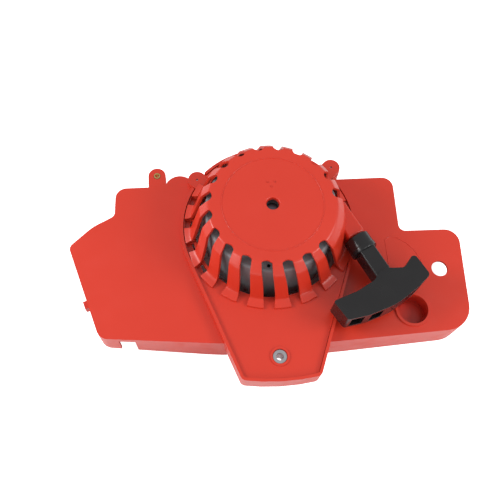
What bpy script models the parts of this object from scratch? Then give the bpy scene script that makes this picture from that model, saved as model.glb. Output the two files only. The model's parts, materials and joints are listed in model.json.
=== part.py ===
"""Recoil starter for a small engine: a moulded shroud and slotted starter cover over a steel reel
case, with the rope reel, recoil spring, pawls and pull handle as separate pieces.

Metres, +Z up. The origin is the middle of the base. The reel turns about a vertical axis that
passes through (AXIS_X, AXIS_Y), and every outline below is measured from that axis.
"""

from math import atan2, ceil, cos, degrees, hypot, pi, radians, sin, tan

import bmesh
import bpy
from mathutils import Matrix, Vector

MM = 0.001

# Fits
GAP = 0.3 * MM  # between pieces that touch
RUN_GAP = 0.5 * MM  # between pieces that turn past each other
CUT = 1.0 * MM  # how far a cutter runs past the face it opens

# Shroud: deck, skirts and the lip round the starter cover
LEFT_REACH = 178.3 * MM
RIGHT_REACH = 174.4 * MM
REAR_EDGE = 48.3 * MM
SHROUD_WALL = 2.5 * MM
DECK_TOP = 40.0 * MM
LEFT_SKIRT_RISE = 14.0 * MM  # how far the skirt's lower edge has risen at the left end
RIGHT_SKIRT_RISE = 7.0 * MM
SKIRT_LEVEL_REACH = 60.0 * MM  # the lower edge is level this far each side of the axis
TONGUE_DEPTH = 22.0 * MM  # the tongue's wall, from the lip down
LIP_WIDTH = 2.5 * MM
LIP_HEIGHT = 2.5 * MM  # above the cover plate
LEDGE_WIDTH = 6.0 * MM
LEDGE_THICK = 3.0 * MM
RIB_THICK = 1.8 * MM
RIB_DEPTH = 9.0 * MM

# Teardrop outline shared by the lip, ledge and cover plate
TEAR_RADIUS = 79.3 * MM
FLANK_ANGLE = 20.7  # degrees that each flank leans from the tongue's length
TONGUE_REACH = 137.2 * MM
TONGUE_CROWN = 2.8 * MM
TONGUE_CORNER = 6.0 * MM

# Starter cover
PLATE_TOP = 45.0 * MM
PLATE_THICK = 2.7 * MM
PLATE_OPENING = 66.5 * MM
DOME_HEIGHT = 48.0 * MM
DOME_TOP_RADIUS = 54.5 * MM
SHOULDER_RADIUS = 61.9 * MM
SHOULDER_DROP = 9.5 * MM
FOLD_RADIUS = 70.3 * MM
FOLD_RISE = 4.0 * MM
FOOT_RADIUS = 75.8 * MM
DOME_WALL = 2.6 * MM
SLOT_PITCH = 18.0
SLOT_PHASE = -76.4
SLOT_TWIST = -5.4
SLOT_TIP_RADIUS = 53.6 * MM
DOME_HOLE = 5.35 * MM

# Lugs, bosses and holes
LEFT_EAR = (-62.6 * MM, 50.0 * MM)
RIGHT_EAR = (62.8 * MM, 57.6 * MM)
REAR_LUG_RADIUS = 8.2 * MM
EAR_ROOT = 12.0 * MM
EAR_SCREW = 2.0 * MM
SIDE_LUG = (-99.6 * MM, 58.9 * MM)
SIDE_LUG_RADIUS = 8.0 * MM
SIDE_LUG_BORE = 2.9 * MM
SIDE_LUG_DEPTH = 9.0 * MM
SIDE_TAB = (45.0 * MM, 55.0 * MM)  # along the left wall, from its rear corner
SIDE_TAB_REACH = 5.5 * MM
SIDE_TAB_TOP = 22.0 * MM
BUMP = (-79.0 * MM, 44.2 * MM)
BUMP_RADIUS = 13.8 * MM
TONGUE_BOSS = (0.0, -118.6 * MM)
TONGUE_BOSS_RADIUS = 8.2 * MM
SLEEVE_BORE = 3.2 * MM
SLEEVE_WALL = 1.0 * MM
WING_HOLE = (150.5 * MM, -45.8 * MM)
WING_HOLE_RADIUS = 7.25 * MM
POCKET = (120.1 * MM, -82.4 * MM)
POCKET_RADIUS = 13.2 * MM
POCKET_DEPTH = 15.0 * MM

# Reel case and the turning parts inside it
CASE_RADIUS = 57.0 * MM
CASE_WALL = 1.5 * MM
CASE_TOP = 82.0 * MM
CASE_BOTTOM = 16.0 * MM
CASE_SCREW_CIRCLE = 45.0 * MM
CASE_SCREWS = 4
CASE_VENT_CIRCLE = 52.0 * MM
CASE_VENT_TURN = -7.6
POST_RADIUS = 7.0 * MM
BUSH_WALL = 1.8 * MM
REEL_RADIUS = 50.5 * MM
GROOVE_FLOOR = 35.0 * MM
GROOVE_WIDTH = 11.0 * MM
FLANGE_THICK = 2.2 * MM
ARBOR_WALL = 2.2 * MM
ROPE_DIAMETER = 5.0 * MM
SPRING_RADIUS = 36.0 * MM
SPRING_STRIP = 0.6 * MM
SPRING_HEIGHT = 6.6 * MM
SPRING_TURNS = 6

# Pawls and friction plate, under the reel
PAWL_CIRCLE = 27.0 * MM
PAWL_LENGTH = 21.0 * MM
PAWL_WIDTH = 6.0 * MM
PAWL_THICK = 5.2 * MM
PAWL_PIN = 2.4 * MM
PLATE_DISC = 20.0 * MM
PLATE_GAUGE = 1.5 * MM
CAM_POST = (20.5 * MM, -14.0 * MM)
CAM_POST_RADIUS = 2.0 * MM
SCREW_RADIUS = 3.0 * MM

# Rope line: where the rope leaves, straight and level
PULL_ANGLE = -63.7  # degrees from +X
PULL_OFFSET = 55.6 * MM  # from the reel's axis
PULL_HEIGHT = 62.0 * MM
BOSS_START = 19.0 * MM
BOSS_END = 52.0 * MM  # along the rope, from the point nearest the axis
BOSS_WIDTH = 16.4 * MM
BOSS_BORE = 6.5 * MM
EYELET = (27.0 * MM, 40.0 * MM)

# Handle
COLLAR_RADIUS = 12.0 * MM
COLLAR_LENGTH = 14.8 * MM
NECK_WIDTH = 15.0 * MM
NECK_HEIGHT = 19.0 * MM
GRIP_THICK = 22.0 * MM
GRIP_START = 40.0 * MM  # from the collar's face to the bar
GRIP_LEFT = 52.0 * MM
GRIP_RIGHT = 32.4 * MM
GRIP_END_DEPTH = 20.0 * MM
GRIP_MID_DEPTH = 29.0 * MM

# Places that follow from the sizes above
LIP_TOP = PLATE_TOP + LIP_HEIGHT
LEDGE_TOP = PLATE_TOP - PLATE_THICK - GAP
EAR_TOP = PLATE_TOP + 1.6 * MM
EAR_SEAT = DECK_TOP - 14 * MM
SLOT_FLOOR = PLATE_TOP + 0.2 * MM
DOME_TOP = PLATE_TOP + DOME_HEIGHT
TONGUE_BOTTOM = LIP_TOP - TONGUE_DEPTH
HANDLE_FACE = BOSS_END + GAP
GROOVE_LOW = PULL_HEIGHT - GROOVE_WIDTH / 2
GROOVE_HIGH = PULL_HEIGHT + GROOVE_WIDTH / 2
REEL_BOTTOM = GROOVE_LOW - FLANGE_THICK
REEL_TOP = GROOVE_HIGH + FLANGE_THICK
REEL_BORE = POST_RADIUS + RUN_GAP + BUSH_WALL + GAP
PAWL_TOP = REEL_BOTTOM - GAP
PAWL_BOTTOM = PAWL_TOP - PAWL_THICK
FRICTION_TOP = PAWL_BOTTOM - 3.0 * MM
FRICTION_BOTTOM = FRICTION_TOP - PLATE_GAUGE
POST_BOTTOM = FRICTION_TOP + GAP


# --- scene -----------------------------------------------------------------------------------

for leftover in list(bpy.data.objects):
    bpy.data.objects.remove(leftover, do_unlink=True)

parts = bpy.data.collections.new("recoil_starter")
cutters = bpy.data.collections.new("cutters")
cutters.hide_render = True
for collection in (parts, cutters):
    bpy.context.scene.collection.children.link(collection)


def empty(name, location, parent=None, turn=0.0):
    """An axis that pieces are parented to."""
    obj = bpy.data.objects.new(name, None)
    obj.empty_display_size = 0.01
    obj.location = location
    obj.rotation_euler.z = turn
    obj.parent = parent
    parts.objects.link(obj)
    return obj


def material(name, colour, roughness, metallic=0.0):
    mat = bpy.data.materials.new(name)
    mat.use_nodes = True
    shader = mat.node_tree.nodes["Principled BSDF"]
    shader.inputs["Base Color"].default_value = (*colour, 1.0)
    shader.inputs["Roughness"].default_value = roughness
    shader.inputs["Metallic"].default_value = metallic
    return mat


RED = material("red_plastic", (0.72, 0.05, 0.03), 0.35)
BLACK = material("black_plastic", (0.02, 0.02, 0.022), 0.3)
REEL_GREY = material("grey_nylon", (0.12, 0.12, 0.13), 0.5)
STEEL = material("zinc_steel", (0.5, 0.51, 0.53), 0.35, 1.0)
SPRING = material("spring_steel", (0.2, 0.21, 0.24), 0.3, 1.0)
BRASS = material("brass", (0.72, 0.52, 0.2), 0.3, 1.0)
BRONZE = material("bronze", (0.55, 0.36, 0.18), 0.4, 1.0)
CORD = material("rope", (0.05, 0.05, 0.055), 0.8)


# --- making shapes ---------------------------------------------------------------------------


def finish(obj, parent, mat=None, smooth=30.0):
    """Gives a shape its axis and material, or makes it a cutter when it has no material."""
    obj.parent = parent
    if mat:
        obj.data.materials.append(mat)
        parts.objects.link(obj)
        obj.data.shade_smooth()
        obj.data.set_sharp_from_angle(angle=radians(smooth))
    else:
        cutters.objects.link(obj)
        obj.hide_render = True
        obj.display_type = "WIRE"
    return obj


def to_mesh(curve_obj):
    """A welded mesh object in place of a curve object."""
    bpy.context.scene.collection.objects.link(curve_obj)
    graph = bpy.context.evaluated_depsgraph_get()
    mesh = bpy.data.meshes.new_from_object(curve_obj.evaluated_get(graph))
    bm = bmesh.new()
    bm.from_mesh(mesh)
    bmesh.ops.remove_doubles(bm, verts=bm.verts, dist=1e-6)
    bmesh.ops.recalc_face_normals(bm, faces=bm.faces)
    bm.to_mesh(mesh)
    bm.free()
    name = curve_obj.name
    obj_matrix = curve_obj.matrix_world.copy()
    bpy.data.objects.remove(curve_obj, do_unlink=True)
    obj = bpy.data.objects.new(name, mesh)
    obj.matrix_world = obj_matrix
    return obj


def slab(name, outline, low, high, parent, mat=None):
    """A flat outline given a thickness from low to high."""
    curve = bpy.data.curves.new(name, "CURVE")
    curve.dimensions = "2D"
    curve.fill_mode = "BOTH"
    curve.extrude = (high - low) / 2
    spline = curve.splines.new("POLY")
    spline.points.add(len(outline) - 1)
    for point, (x, y) in zip(spline.points, outline):
        point.co = (x, y, 0, 1)
    spline.use_cyclic_u = True
    obj = bpy.data.objects.new(name, curve)
    obj.location.z = (low + high) / 2
    return finish(to_mesh(obj), parent, mat)


def turned(name, profile, parent, mat=None, steps=48, turn=None, place=(0, 0, 0)):
    """A profile of (radius, height) points, outer side first and downwards, turned about Z."""
    mesh = bpy.data.meshes.new(name)
    closed = min(radius for radius, _ in profile) > 0
    edges = [(i, i + 1) for i in range(len(profile) - 1)]
    if closed:
        edges.append((len(profile) - 1, 0))
    mesh.from_pydata([(radius, 0, height) for radius, height in profile], edges, [])
    obj = bpy.data.objects.new(name, mesh)
    screw = obj.modifiers.new("Turn", "SCREW")
    screw.axis = "Z"
    screw.steps = screw.render_steps = steps
    screw.use_merge_vertices = True
    screw.merge_threshold = 0.00001
    screw.use_smooth_shade = False
    obj.location = place
    if turn:
        obj.rotation_euler = turn
    return finish(obj, parent, mat)


def rod(name, radius, low, high, parent, mat=None, at=(0, 0), steps=24):
    """An upright cylinder."""
    mesh = bpy.data.meshes.new(name)
    bm = bmesh.new()
    bmesh.ops.create_cone(
        bm, cap_ends=True, segments=steps, radius1=radius, radius2=radius, depth=high - low
    )
    bm.to_mesh(mesh)
    bm.free()
    obj = bpy.data.objects.new(name, mesh)
    obj.location = (*at, (low + high) / 2)
    return finish(obj, parent, mat)


def block(name, low, high, parent, mat=None, turn=0.0):
    """A box between two corners."""
    mesh = bpy.data.meshes.new(name)
    low, high = Vector(low), Vector(high)
    bm = bmesh.new()
    bmesh.ops.create_cube(bm, size=1.0, matrix=Matrix.Diagonal((*(high - low), 1.0)))
    bm.to_mesh(mesh)
    bm.free()
    obj = bpy.data.objects.new(name, mesh)
    middle = (low + high) / 2
    obj.location = Matrix.Rotation(turn, 3, "Z") @ middle
    obj.rotation_euler.z = turn
    return finish(obj, parent, mat)


def wire(name, points, diameter, parent, mat, sides=2):
    """A round wire or rope through a list of points."""
    curve = bpy.data.curves.new(name, "CURVE")
    curve.dimensions = "3D"
    curve.bevel_depth = diameter / 2
    curve.bevel_resolution = sides
    curve.use_fill_caps = True
    spline = curve.splines.new("POLY")
    spline.points.add(len(points) - 1)
    for point, co in zip(spline.points, points):
        point.co = (*co, 1)
    return finish(to_mesh(bpy.data.objects.new(name, curve)), parent, mat)


def boolean(target, other, operation="DIFFERENCE"):
    """Cuts other from target, or joins the two, and keeps other as a cutter."""
    modifier = target.modifiers.new(other.name, "BOOLEAN")
    modifier.operation = operation
    modifier.object = other
    modifier.solver = "EXACT"


def cut(target, *others):
    for other in others:
        boolean(target, other)


def join(target, *others):
    for other in others:
        boolean(target, other, "UNION")


def bevel(obj, width, segments=1, angle=40.0):
    """Rounds the sharp edges."""
    modifier = obj.modifiers.new("Edges", "BEVEL")
    modifier.width = width
    modifier.segments = segments
    modifier.limit_method = "ANGLE"
    modifier.angle_limit = radians(angle)


# --- outlines --------------------------------------------------------------------------------


def polar(radius, angle):
    return radius * cos(radians(angle)), radius * sin(radians(angle))


def arc(centre, radius, start, end, step=9.0):
    """Points from start to end degrees round a centre."""
    count = max(1, ceil(abs(end - start) / step))
    turns = [start + (end - start) * i / count for i in range(count + 1)]
    return [(centre[0] + polar(radius, a)[0], centre[1] + polar(radius, a)[1]) for a in turns]


def rounded(corners, step=18.0):
    """An outline of (x, y, radius) corners, each given its round."""
    outline = []
    for i, (x, y, radius) in enumerate(corners):
        here = Vector((x, y))
        back = (Vector(corners[i - 1][:2]) - here).normalized()
        ahead = (Vector(corners[(i + 1) % len(corners)][:2]) - here).normalized()
        if radius <= 0:
            outline.append((x, y))
            continue
        half = back.angle(ahead) / 2
        middle = here + (back + ahead).normalized() * (radius / sin(half))
        first = here + back * (radius / tan(half)) - middle
        last = here + ahead * (radius / tan(half)) - middle
        start = degrees(atan2(first.y, first.x))
        sweep = (degrees(atan2(last.y, last.x)) - start + 180) % 360 - 180
        outline += arc(middle, radius, start, start + sweep, step)
    return outline


def inset(corners, distance):
    """The same corners moved in by a distance, for an outline that runs anticlockwise."""
    moved = []
    for i, (x, y, radius) in enumerate(corners):
        here = Vector((x, y))
        inward = (here - Vector(corners[i - 1][:2])).normalized()
        outward = (Vector(corners[(i + 1) % len(corners)][:2]) - here).normalized()
        normal_in = Vector((-inward.y, inward.x))
        normal_out = Vector((-outward.y, outward.x))
        bisector = (normal_in + normal_out).normalized()
        shift = bisector * (distance / bisector.dot(normal_in))
        convex = inward.cross(outward) > 0
        grown = max(radius - distance, 0.0) if convex else radius + distance
        moved.append((x + shift.x, y + shift.y, grown))
    return moved


def teardrop(distance=0.0):
    """The cover's outline, moved in by a distance: a circle drawn out into a tongue."""
    radius = TEAR_RADIUS - distance
    end = -(TONGUE_REACH - distance)
    lean = radians(FLANK_ANGLE)
    half = (radius + end * sin(lean)) / cos(lean)
    corner = max(TONGUE_CORNER - distance, 1.0 * MM)
    start = polar(radius, -FLANK_ANGLE)
    tongue = [
        (-start[0], start[1], 0.0),
        (-half, end, corner),
        (0.0, end - TONGUE_CROWN, 0.0),
        (half, end, corner),
        (start[0], start[1], 0.0),
    ]
    crown = arc((0, 0), radius, -FLANK_ANGLE, 180 + FLANK_ANGLE, 6.0)[1:-1]
    return rounded(tongue) + crown


def tab(at, radius, facing, root, grow=0.0):
    """A lug's outline: half a circle facing one way, with straight sides back to its root."""
    radius += grow
    back = polar(root, facing + 180)
    ends = [polar(radius, facing + side) for side in (90, -90)]
    sides = [(at[0] + back[0] + x, at[1] + back[1] + y) for x, y in ends]
    return arc(at, radius, facing - 90, facing + 90, 15.0) + sides


# Corners of the deck, anticlockwise from the front of the right wing
WINGS = [
    (46 * MM, -107.4 * MM, 0),
    (170 * MM, -101.8 * MM, 23 * MM),
    (RIGHT_REACH, -8 * MM, 13 * MM),
    (119.6 * MM, -7.5 * MM, 6 * MM),
    (121 * MM, REAR_EDGE, 10 * MM),
    (-137.5 * MM, REAR_EDGE - 1 * MM, 10 * MM),
    (-138.4 * MM, 19.7 * MM, 6 * MM),
    (-158 * MM, 9.5 * MM, 40 * MM),
    (-LEFT_REACH, -9 * MM, 6 * MM),
    (-150.4 * MM, -93.8 * MM, 10 * MM),
    (-47 * MM, -103.8 * MM, 0),
]


def ears():
    """Each ear's centre and the way it faces."""
    return [(at, degrees(atan2(at[1], at[0]))) for at in (LEFT_EAR, RIGHT_EAR)]


def pull_point(along, across=0.0):
    """A place beside the rope line, measured from its point nearest the reel's axis."""
    direction = polar(1.0, PULL_ANGLE)
    side = (-direction[1], direction[0])
    return (
        side[0] * (PULL_OFFSET + across) + direction[0] * along,
        side[1] * (PULL_OFFSET + across) + direction[1] * along,
    )


# --- axes ------------------------------------------------------------------------------------

# The axis stands off the middle of the base by half the difference of the reaches each way.
wing_reach = [x for x, _ in rounded(WINGS)]
AXIS_X = -(min(wing_reach) + max(wing_reach)) / 2
AXIS_Y = (TONGUE_REACH + TONGUE_CROWN - TEAR_RADIUS) / 2

base = empty("reel_axis", (AXIS_X, AXIS_Y, 0))
rotor = empty("rotor_axis", (0, 0, 0), base)
plate_axis = empty("friction_plate_axis", (0, 0, 0), base)
pull_axis = empty("pull_axis", (*pull_point(HANDLE_FACE), PULL_HEIGHT), base, radians(PULL_ANGLE))
pull_line = empty("pull_line", (*pull_point(0), PULL_HEIGHT), base, radians(PULL_ANGLE))
ALONG = (0, pi / 2, 0)  # lays a turned piece along its parent's +X


# --- shroud ----------------------------------------------------------------------------------


def engine_shroud():
    """The red moulding that covers the engine's fan side: two wings, skirts and a raised lip."""
    shroud = slab("engine_shroud", rounded(WINGS), 0, DECK_TOP, base, RED)
    disc = arc((0, 0), TEAR_RADIUS, 0, 354, 6.0)
    join(shroud, slab("rear_round", disc, 0, DECK_TOP, base))
    join(shroud, slab("lip_block", teardrop(), TONGUE_BOTTOM, LIP_TOP, base))
    join(shroud, rod("bump_block", BUMP_RADIUS, 0, DECK_TOP, base, at=BUMP, steps=32))

    cavity_top = DECK_TOP - SHROUD_WALL
    cut(
        shroud,
        slab("wing_cavity", rounded(inset(WINGS, SHROUD_WALL)), -CUT, cavity_top, base),
        slab("round_cavity", arc((0, 0), TEAR_RADIUS - SHROUD_WALL, 0, 354, 6.0), -CUT,
             cavity_top - GAP, base),
        rod("bump_cavity", BUMP_RADIUS - SHROUD_WALL, -CUT, cavity_top - 2 * GAP, base, at=BUMP,
            steps=32),
        tongue_cavity(),
        slab("recess", teardrop(LIP_WIDTH), LEDGE_TOP, LIP_TOP + CUT, base),
        slab("opening", teardrop(LIP_WIDTH + LEDGE_WIDTH), cavity_top - 3 * CUT,
             LEDGE_TOP + CUT, base),
    )
    shroud_lugs(shroud)
    shroud_pocket(shroud)
    shroud_ribs(shroud)
    hole = rod("wing_hole", WING_HOLE_RADIUS, 0, DECK_TOP + CUT, base, at=WING_HOLE)
    collar = rod("wing_hole_collar", WING_HOLE_RADIUS + 2 * MM, cavity_top - 5 * MM,
                 DECK_TOP - CUT, base, at=WING_HOLE)
    join(shroud, collar)
    cut(shroud, hole)
    for side, reach, rise in ((-1, LEFT_REACH, LEFT_SKIRT_RISE), (1, RIGHT_REACH, RIGHT_SKIRT_RISE)):
        cut(shroud, skirt_wedge(side, reach, rise))
    notch = (-135 * MM, -105 * MM, -CUT), (-121 * MM, -88 * MM, DECK_TOP - 7 * MM)
    cut(shroud, block("skirt_notch", *notch, base))
    return shroud


def tongue_cavity():
    """Hollows the tongue from below, in front of the wall that runs under it."""
    inner = teardrop(SHROUD_WALL)
    front = WINGS[-1][1] + 0.5 * MM, WINGS[0][1] + 0.5 * MM
    left, right = WINGS[-1][0], WINGS[0][0]
    keep = [p for p in inner if p[1] < front[1] - 2 * MM]
    slope = (front[1] - front[0]) / (right - left)
    lean = tan(radians(FLANK_ANGLE))

    def flank(y):
        return (TEAR_RADIUS - SHROUD_WALL) / cos(radians(FLANK_ANGLE)) + y * lean

    corner_left = (-flank(front[0]), front[0] + slope * (-flank(front[0]) - left))
    corner_right = (flank(front[1]), front[1] + slope * (flank(front[1]) - right))
    return slab("tongue_cavity", keep + [corner_right, corner_left], -CUT,
                LEDGE_TOP - LEDGE_THICK, base)


def skirt_wedge(side, reach, rise):
    """Lifts the skirt's lower edge towards one end."""
    start = SKIRT_LEVEL_REACH
    end = reach + 10 * MM
    height = rise * (end - start) / (reach - start)
    outline = [(start, -CUT), (end, -CUT), (end, height), (start, 0)]
    wedge = slab("skirt_wedge", outline, -0.2, 0.2, base)
    wedge.rotation_euler = (pi / 2, 0, 0 if side > 0 else pi)
    wedge.location = (0, 0, 0)
    return wedge


def shroud_lugs(shroud):
    """The pads under the cover's two ears, and the lug at the left rear."""
    for at, facing in ears():
        pad = tab(at, REAR_LUG_RADIUS, facing, EAR_ROOT, 0.4 * MM)
        space = tab(at, REAR_LUG_RADIUS, facing, EAR_ROOT, 0.4 * MM + CUT)
        join(shroud, slab("lug_pad", pad, EAR_SEAT, LEDGE_TOP - GAP, base))
        cut(
            shroud,
            slab("lug_space", space, LEDGE_TOP - GAP / 2, LIP_TOP + CUT, base),
            rod("lug_hole", EAR_SCREW + GAP, 0, LIP_TOP, base, at=at, steps=16),
            rod("head_room", 5.0 * MM, -CUT, EAR_SEAT + GAP / 2, base, at=at, steps=24),
        )
    corner, front = Vector(WINGS[8][:2]), Vector(WINGS[9][:2])
    along = (front - corner).normalized()
    outward = Vector((along.y, -along.x))
    near, far = corner + along * SIDE_TAB[0], corner + along * SIDE_TAB[1]
    outline = [near - outward * MM, near + outward * SIDE_TAB_REACH, far + outward * SIDE_TAB_REACH,
               far - outward * MM]
    join(shroud, slab("side_tab", [tuple(p) for p in outline], 10 * MM, SIDE_TAB_TOP, base))
    lug = tab(SIDE_LUG, SIDE_LUG_RADIUS, 90, SIDE_LUG[1] - REAR_EDGE + 4 * MM)
    join(shroud, slab("side_lug", lug, DECK_TOP - SIDE_LUG_DEPTH, DECK_TOP, base))
    cut(shroud, rod("side_lug_bore", SIDE_LUG_BORE + GAP, 0, DECK_TOP + CUT, base, at=SIDE_LUG))


def shroud_pocket(shroud):
    """The round pocket in the right wing, with a low rim."""
    outer = POCKET_RADIUS + 2.3 * MM
    floor = DECK_TOP - POCKET_DEPTH
    join(shroud, rod("pocket_cup", outer, floor - 2.5 * MM, DECK_TOP + 1 * MM, base, at=POCKET,
                     steps=36))
    cut(shroud, rod("pocket_space", POCKET_RADIUS, floor, DECK_TOP + 2 * MM, base, at=POCKET,
                    steps=36))


def shroud_ribs(shroud):
    """Stiffening ribs under both wings."""
    top = DECK_TOP - SHROUD_WALL + CUT / 2
    low = DECK_TOP - SHROUD_WALL - RIB_DEPTH
    for x, front, rear in ((-130, -94, 46), (-105, -97, 46), (100, -103, 47), (-153, -91, 4)):
        join(shroud, block("rib", ((x * MM) - RIB_THICK / 2, front * MM, low),
                           ((x * MM) + RIB_THICK / 2, rear * MM, top), base))
    for x_low, x_high, y in ((-172, -80, -30), (80, 172, -28)):
        join(shroud, block("rib", (x_low * MM, (y * MM) - RIB_THICK / 2, low),
                           (x_high * MM, (y * MM) + RIB_THICK / 2, top), base))


# --- starter cover ---------------------------------------------------------------------------


def slot_cutter(index):
    """One slot through the dome's shoulder, wall and foot: a loft that twists as it comes down."""
    centre = SLOT_PHASE + SLOT_PITCH * index
    shoulder = DOME_TOP - SHOULDER_DROP
    stations = [  # twist share, half angle, inner (r, z), outer (r, z)
        (1.0, 1.6, (SLOT_TIP_RADIUS, DOME_TOP - 6 * MM), (SLOT_TIP_RADIUS, DOME_TOP + 4 * MM)),
        (0.97, 3.9, (SLOT_TIP_RADIUS + 1.8 * MM, DOME_TOP - 7 * MM),
         (SLOT_TIP_RADIUS + 2.2 * MM, DOME_TOP + 4 * MM)),
        (0.72, 4.5, (SHOULDER_RADIUS - 6.5 * MM, shoulder - 2 * MM),
         (SHOULDER_RADIUS + 8 * MM, shoulder + 7 * MM)),
        (0.2, 4.5, (FOLD_RADIUS - 10.5 * MM, PLATE_TOP + 16 * MM),
         (FOLD_RADIUS + 8 * MM, PLATE_TOP + 20 * MM)),
        (0.0, 4.0, (FOLD_RADIUS - 8 * MM, SLOT_FLOOR), (FOOT_RADIUS + 8 * MM, SLOT_FLOOR)),
    ]
    bm = bmesh.new()
    rings = []
    for share, half, inner, outer in stations:
        middle = centre + SLOT_TWIST * share
        ring = []
        for angle, (radius, height) in (
            (middle - half, inner), (middle + half, inner),
            (middle + half, outer), (middle - half, outer),
        ):
            ring.append(bm.verts.new((*polar(radius, angle), height)))
        rings.append(ring)
    bm.faces.new(rings[0])
    bm.faces.new(reversed(rings[-1]))
    for upper, lower in zip(rings, rings[1:]):
        for i in range(4):
            bm.faces.new((upper[i], lower[i], lower[(i + 1) % 4], upper[(i + 1) % 4]))
    bmesh.ops.triangulate(bm, faces=bm.faces)
    bmesh.ops.recalc_face_normals(bm, faces=bm.faces)
    mesh = bpy.data.meshes.new("slot")
    bm.to_mesh(mesh)
    bm.free()
    return finish(bpy.data.objects.new("slot", mesh), base)


def starter_cover():
    """The red teardrop plate with the slotted dome, rope boss and ears."""
    plate_low = PLATE_TOP - PLATE_THICK
    cover = slab("starter_cover", teardrop(LIP_WIDTH + GAP), plate_low, PLATE_TOP, base, RED)
    shoulder = DOME_TOP - SHOULDER_DROP
    fold = PLATE_TOP + FOLD_RISE
    inner_top = DOME_TOP - DOME_WALL
    sunk = PLATE_TOP - 1.2 * MM
    shell = [
        (DOME_TOP_RADIUS, DOME_TOP), (DOME_TOP_RADIUS + 3.4 * MM, DOME_TOP - 2.2 * MM),
        (SHOULDER_RADIUS, shoulder), (FOLD_RADIUS, fold), (FOOT_RADIUS, PLATE_TOP + 0.4 * MM),
        (FOOT_RADIUS, sunk), (FOLD_RADIUS - DOME_WALL, sunk),
        (FOLD_RADIUS - DOME_WALL, fold - 1 * MM), (SHOULDER_RADIUS - DOME_WALL, shoulder),
        (DOME_TOP_RADIUS - 1 * MM, inner_top), (DOME_HOLE + 3 * MM, inner_top),
        (DOME_HOLE + 3 * MM, inner_top - 5 * MM), (DOME_HOLE, inner_top - 5 * MM),
        (DOME_HOLE, DOME_TOP - 1 * MM), (DOME_HOLE + 1 * MM, DOME_TOP),
    ]
    join(cover, turned("dome_shell", shell, base, steps=60))
    for i in range(CASE_SCREWS):
        at = polar(CASE_SCREW_CIRCLE, 360 / CASE_SCREWS * (i + 0.5))
        join(cover, rod("case_tower", 4.4 * MM, CASE_TOP + GAP, inner_top + CUT, base, at=at,
                        steps=16))
        cut(cover, rod("tower_hole", 2.0 * MM, CASE_TOP, inner_top - 1 * MM, base, at=at, steps=12))
    join(cover, rope_boss())
    cut(cover, rod("cover_opening", PLATE_OPENING, 0, plate_low + 2 * PLATE_THICK, base, steps=60))
    for index in range(round(360 / SLOT_PITCH)):
        if not boss_blocks(index):
            cut(cover, slot_cutter(index))
    start, end = 6 * MM, BOSS_END + CUT
    bore = turned("boss_bore", [(0, end), (BOSS_BORE, end), (BOSS_BORE, start), (0, start)],
                  pull_line, turn=ALONG, steps=24)
    cut(cover, bore)
    cover_ears(cover)
    cover_boss(cover)
    return cover


def boss_blocks(index):
    """Whether the rope boss stands where this slot would be."""
    centre = (SLOT_PHASE + SLOT_PITCH * index + 180) % 360 - 180
    direction = Vector(pull_point(BOSS_END - 5 * MM))
    middle = degrees(atan2(direction.y, direction.x))
    return abs(centre - middle) < SLOT_PITCH


def rope_boss():
    """The box-shaped snout on the dome's flank that the rope leaves through."""
    half = BOSS_WIDTH / 2
    top = half - 0.2 * MM
    boss = block("rope_boss", (BOSS_START, -half, PLATE_TOP - 1.5 * MM - PULL_HEIGHT),
                 (BOSS_END, half, top), pull_line)
    bevel(boss, 2.5 * MM, 2)
    lip_inner = TEAR_RADIUS - LIP_WIDTH - 2 * GAP
    lip_room = [(lip_inner + 30 * MM, LIP_TOP + 2 * GAP), (lip_inner + 30 * MM, 0),
                (lip_inner, 0), (lip_inner, LIP_TOP + 2 * GAP)]
    cut(
        boss,
        rod("boss_clearance", CASE_RADIUS + 3 * MM, 0, DOME_TOP, base, steps=60),
        turned("lip_clearance", lip_room, base, steps=60),
    )
    return boss


def cover_ears(cover):
    """The two ears over the shroud's pads, each with a blind screw hole and a small vent."""
    for at, facing in ears():
        ear = tab(at, REAR_LUG_RADIUS, facing, EAR_ROOT)
        join(cover, slab("ear", ear, PLATE_TOP - PLATE_THICK, EAR_TOP, base))
        cut(cover, rod("ear_hole", EAR_SCREW + GAP, 0, EAR_TOP - 1 * MM, base, at=at, steps=16))
        cut(cover, rod("ear_vent", 1.1 * MM, 0, DOME_TOP, base, at=at, steps=12))


def cover_boss(cover):
    """The ringed boss on the tongue, counterbored for a sleeve."""
    bore = SLEEVE_BORE + SLEEVE_WALL + GAP
    ring = rod("tongue_ring", TONGUE_BOSS_RADIUS, TONGUE_BOTTOM + 2 * MM, PLATE_TOP + 0.9 * MM, base,
               at=TONGUE_BOSS, steps=32)
    join(cover, ring)
    cut(cover, rod("tongue_counterbore", bore + 1.8 * MM, PLATE_TOP - 1.8 * MM, DOME_TOP, base,
                   at=TONGUE_BOSS, steps=32))
    cut(cover, rod("tongue_bore", bore, 0, DOME_TOP, base, at=TONGUE_BOSS))


# --- fixed metal parts -----------------------------------------------------------------------


def screw(name, at, seat, head, length, radius, parent):
    """A screw whose head sits under a face and whose shank goes up, with a socket in its head."""
    profile = [
        (0, length), (radius * 0.6, length), (radius, length - radius), (radius, 0),
        (head, 0), (head, -0.75 * head), (0.45 * head, -0.75 * head),
        (0.45 * head, -0.35 * head), (0, -0.35 * head),
    ]
    return turned(name, profile, parent, STEEL, steps=12, place=(*at, seat))


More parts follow.
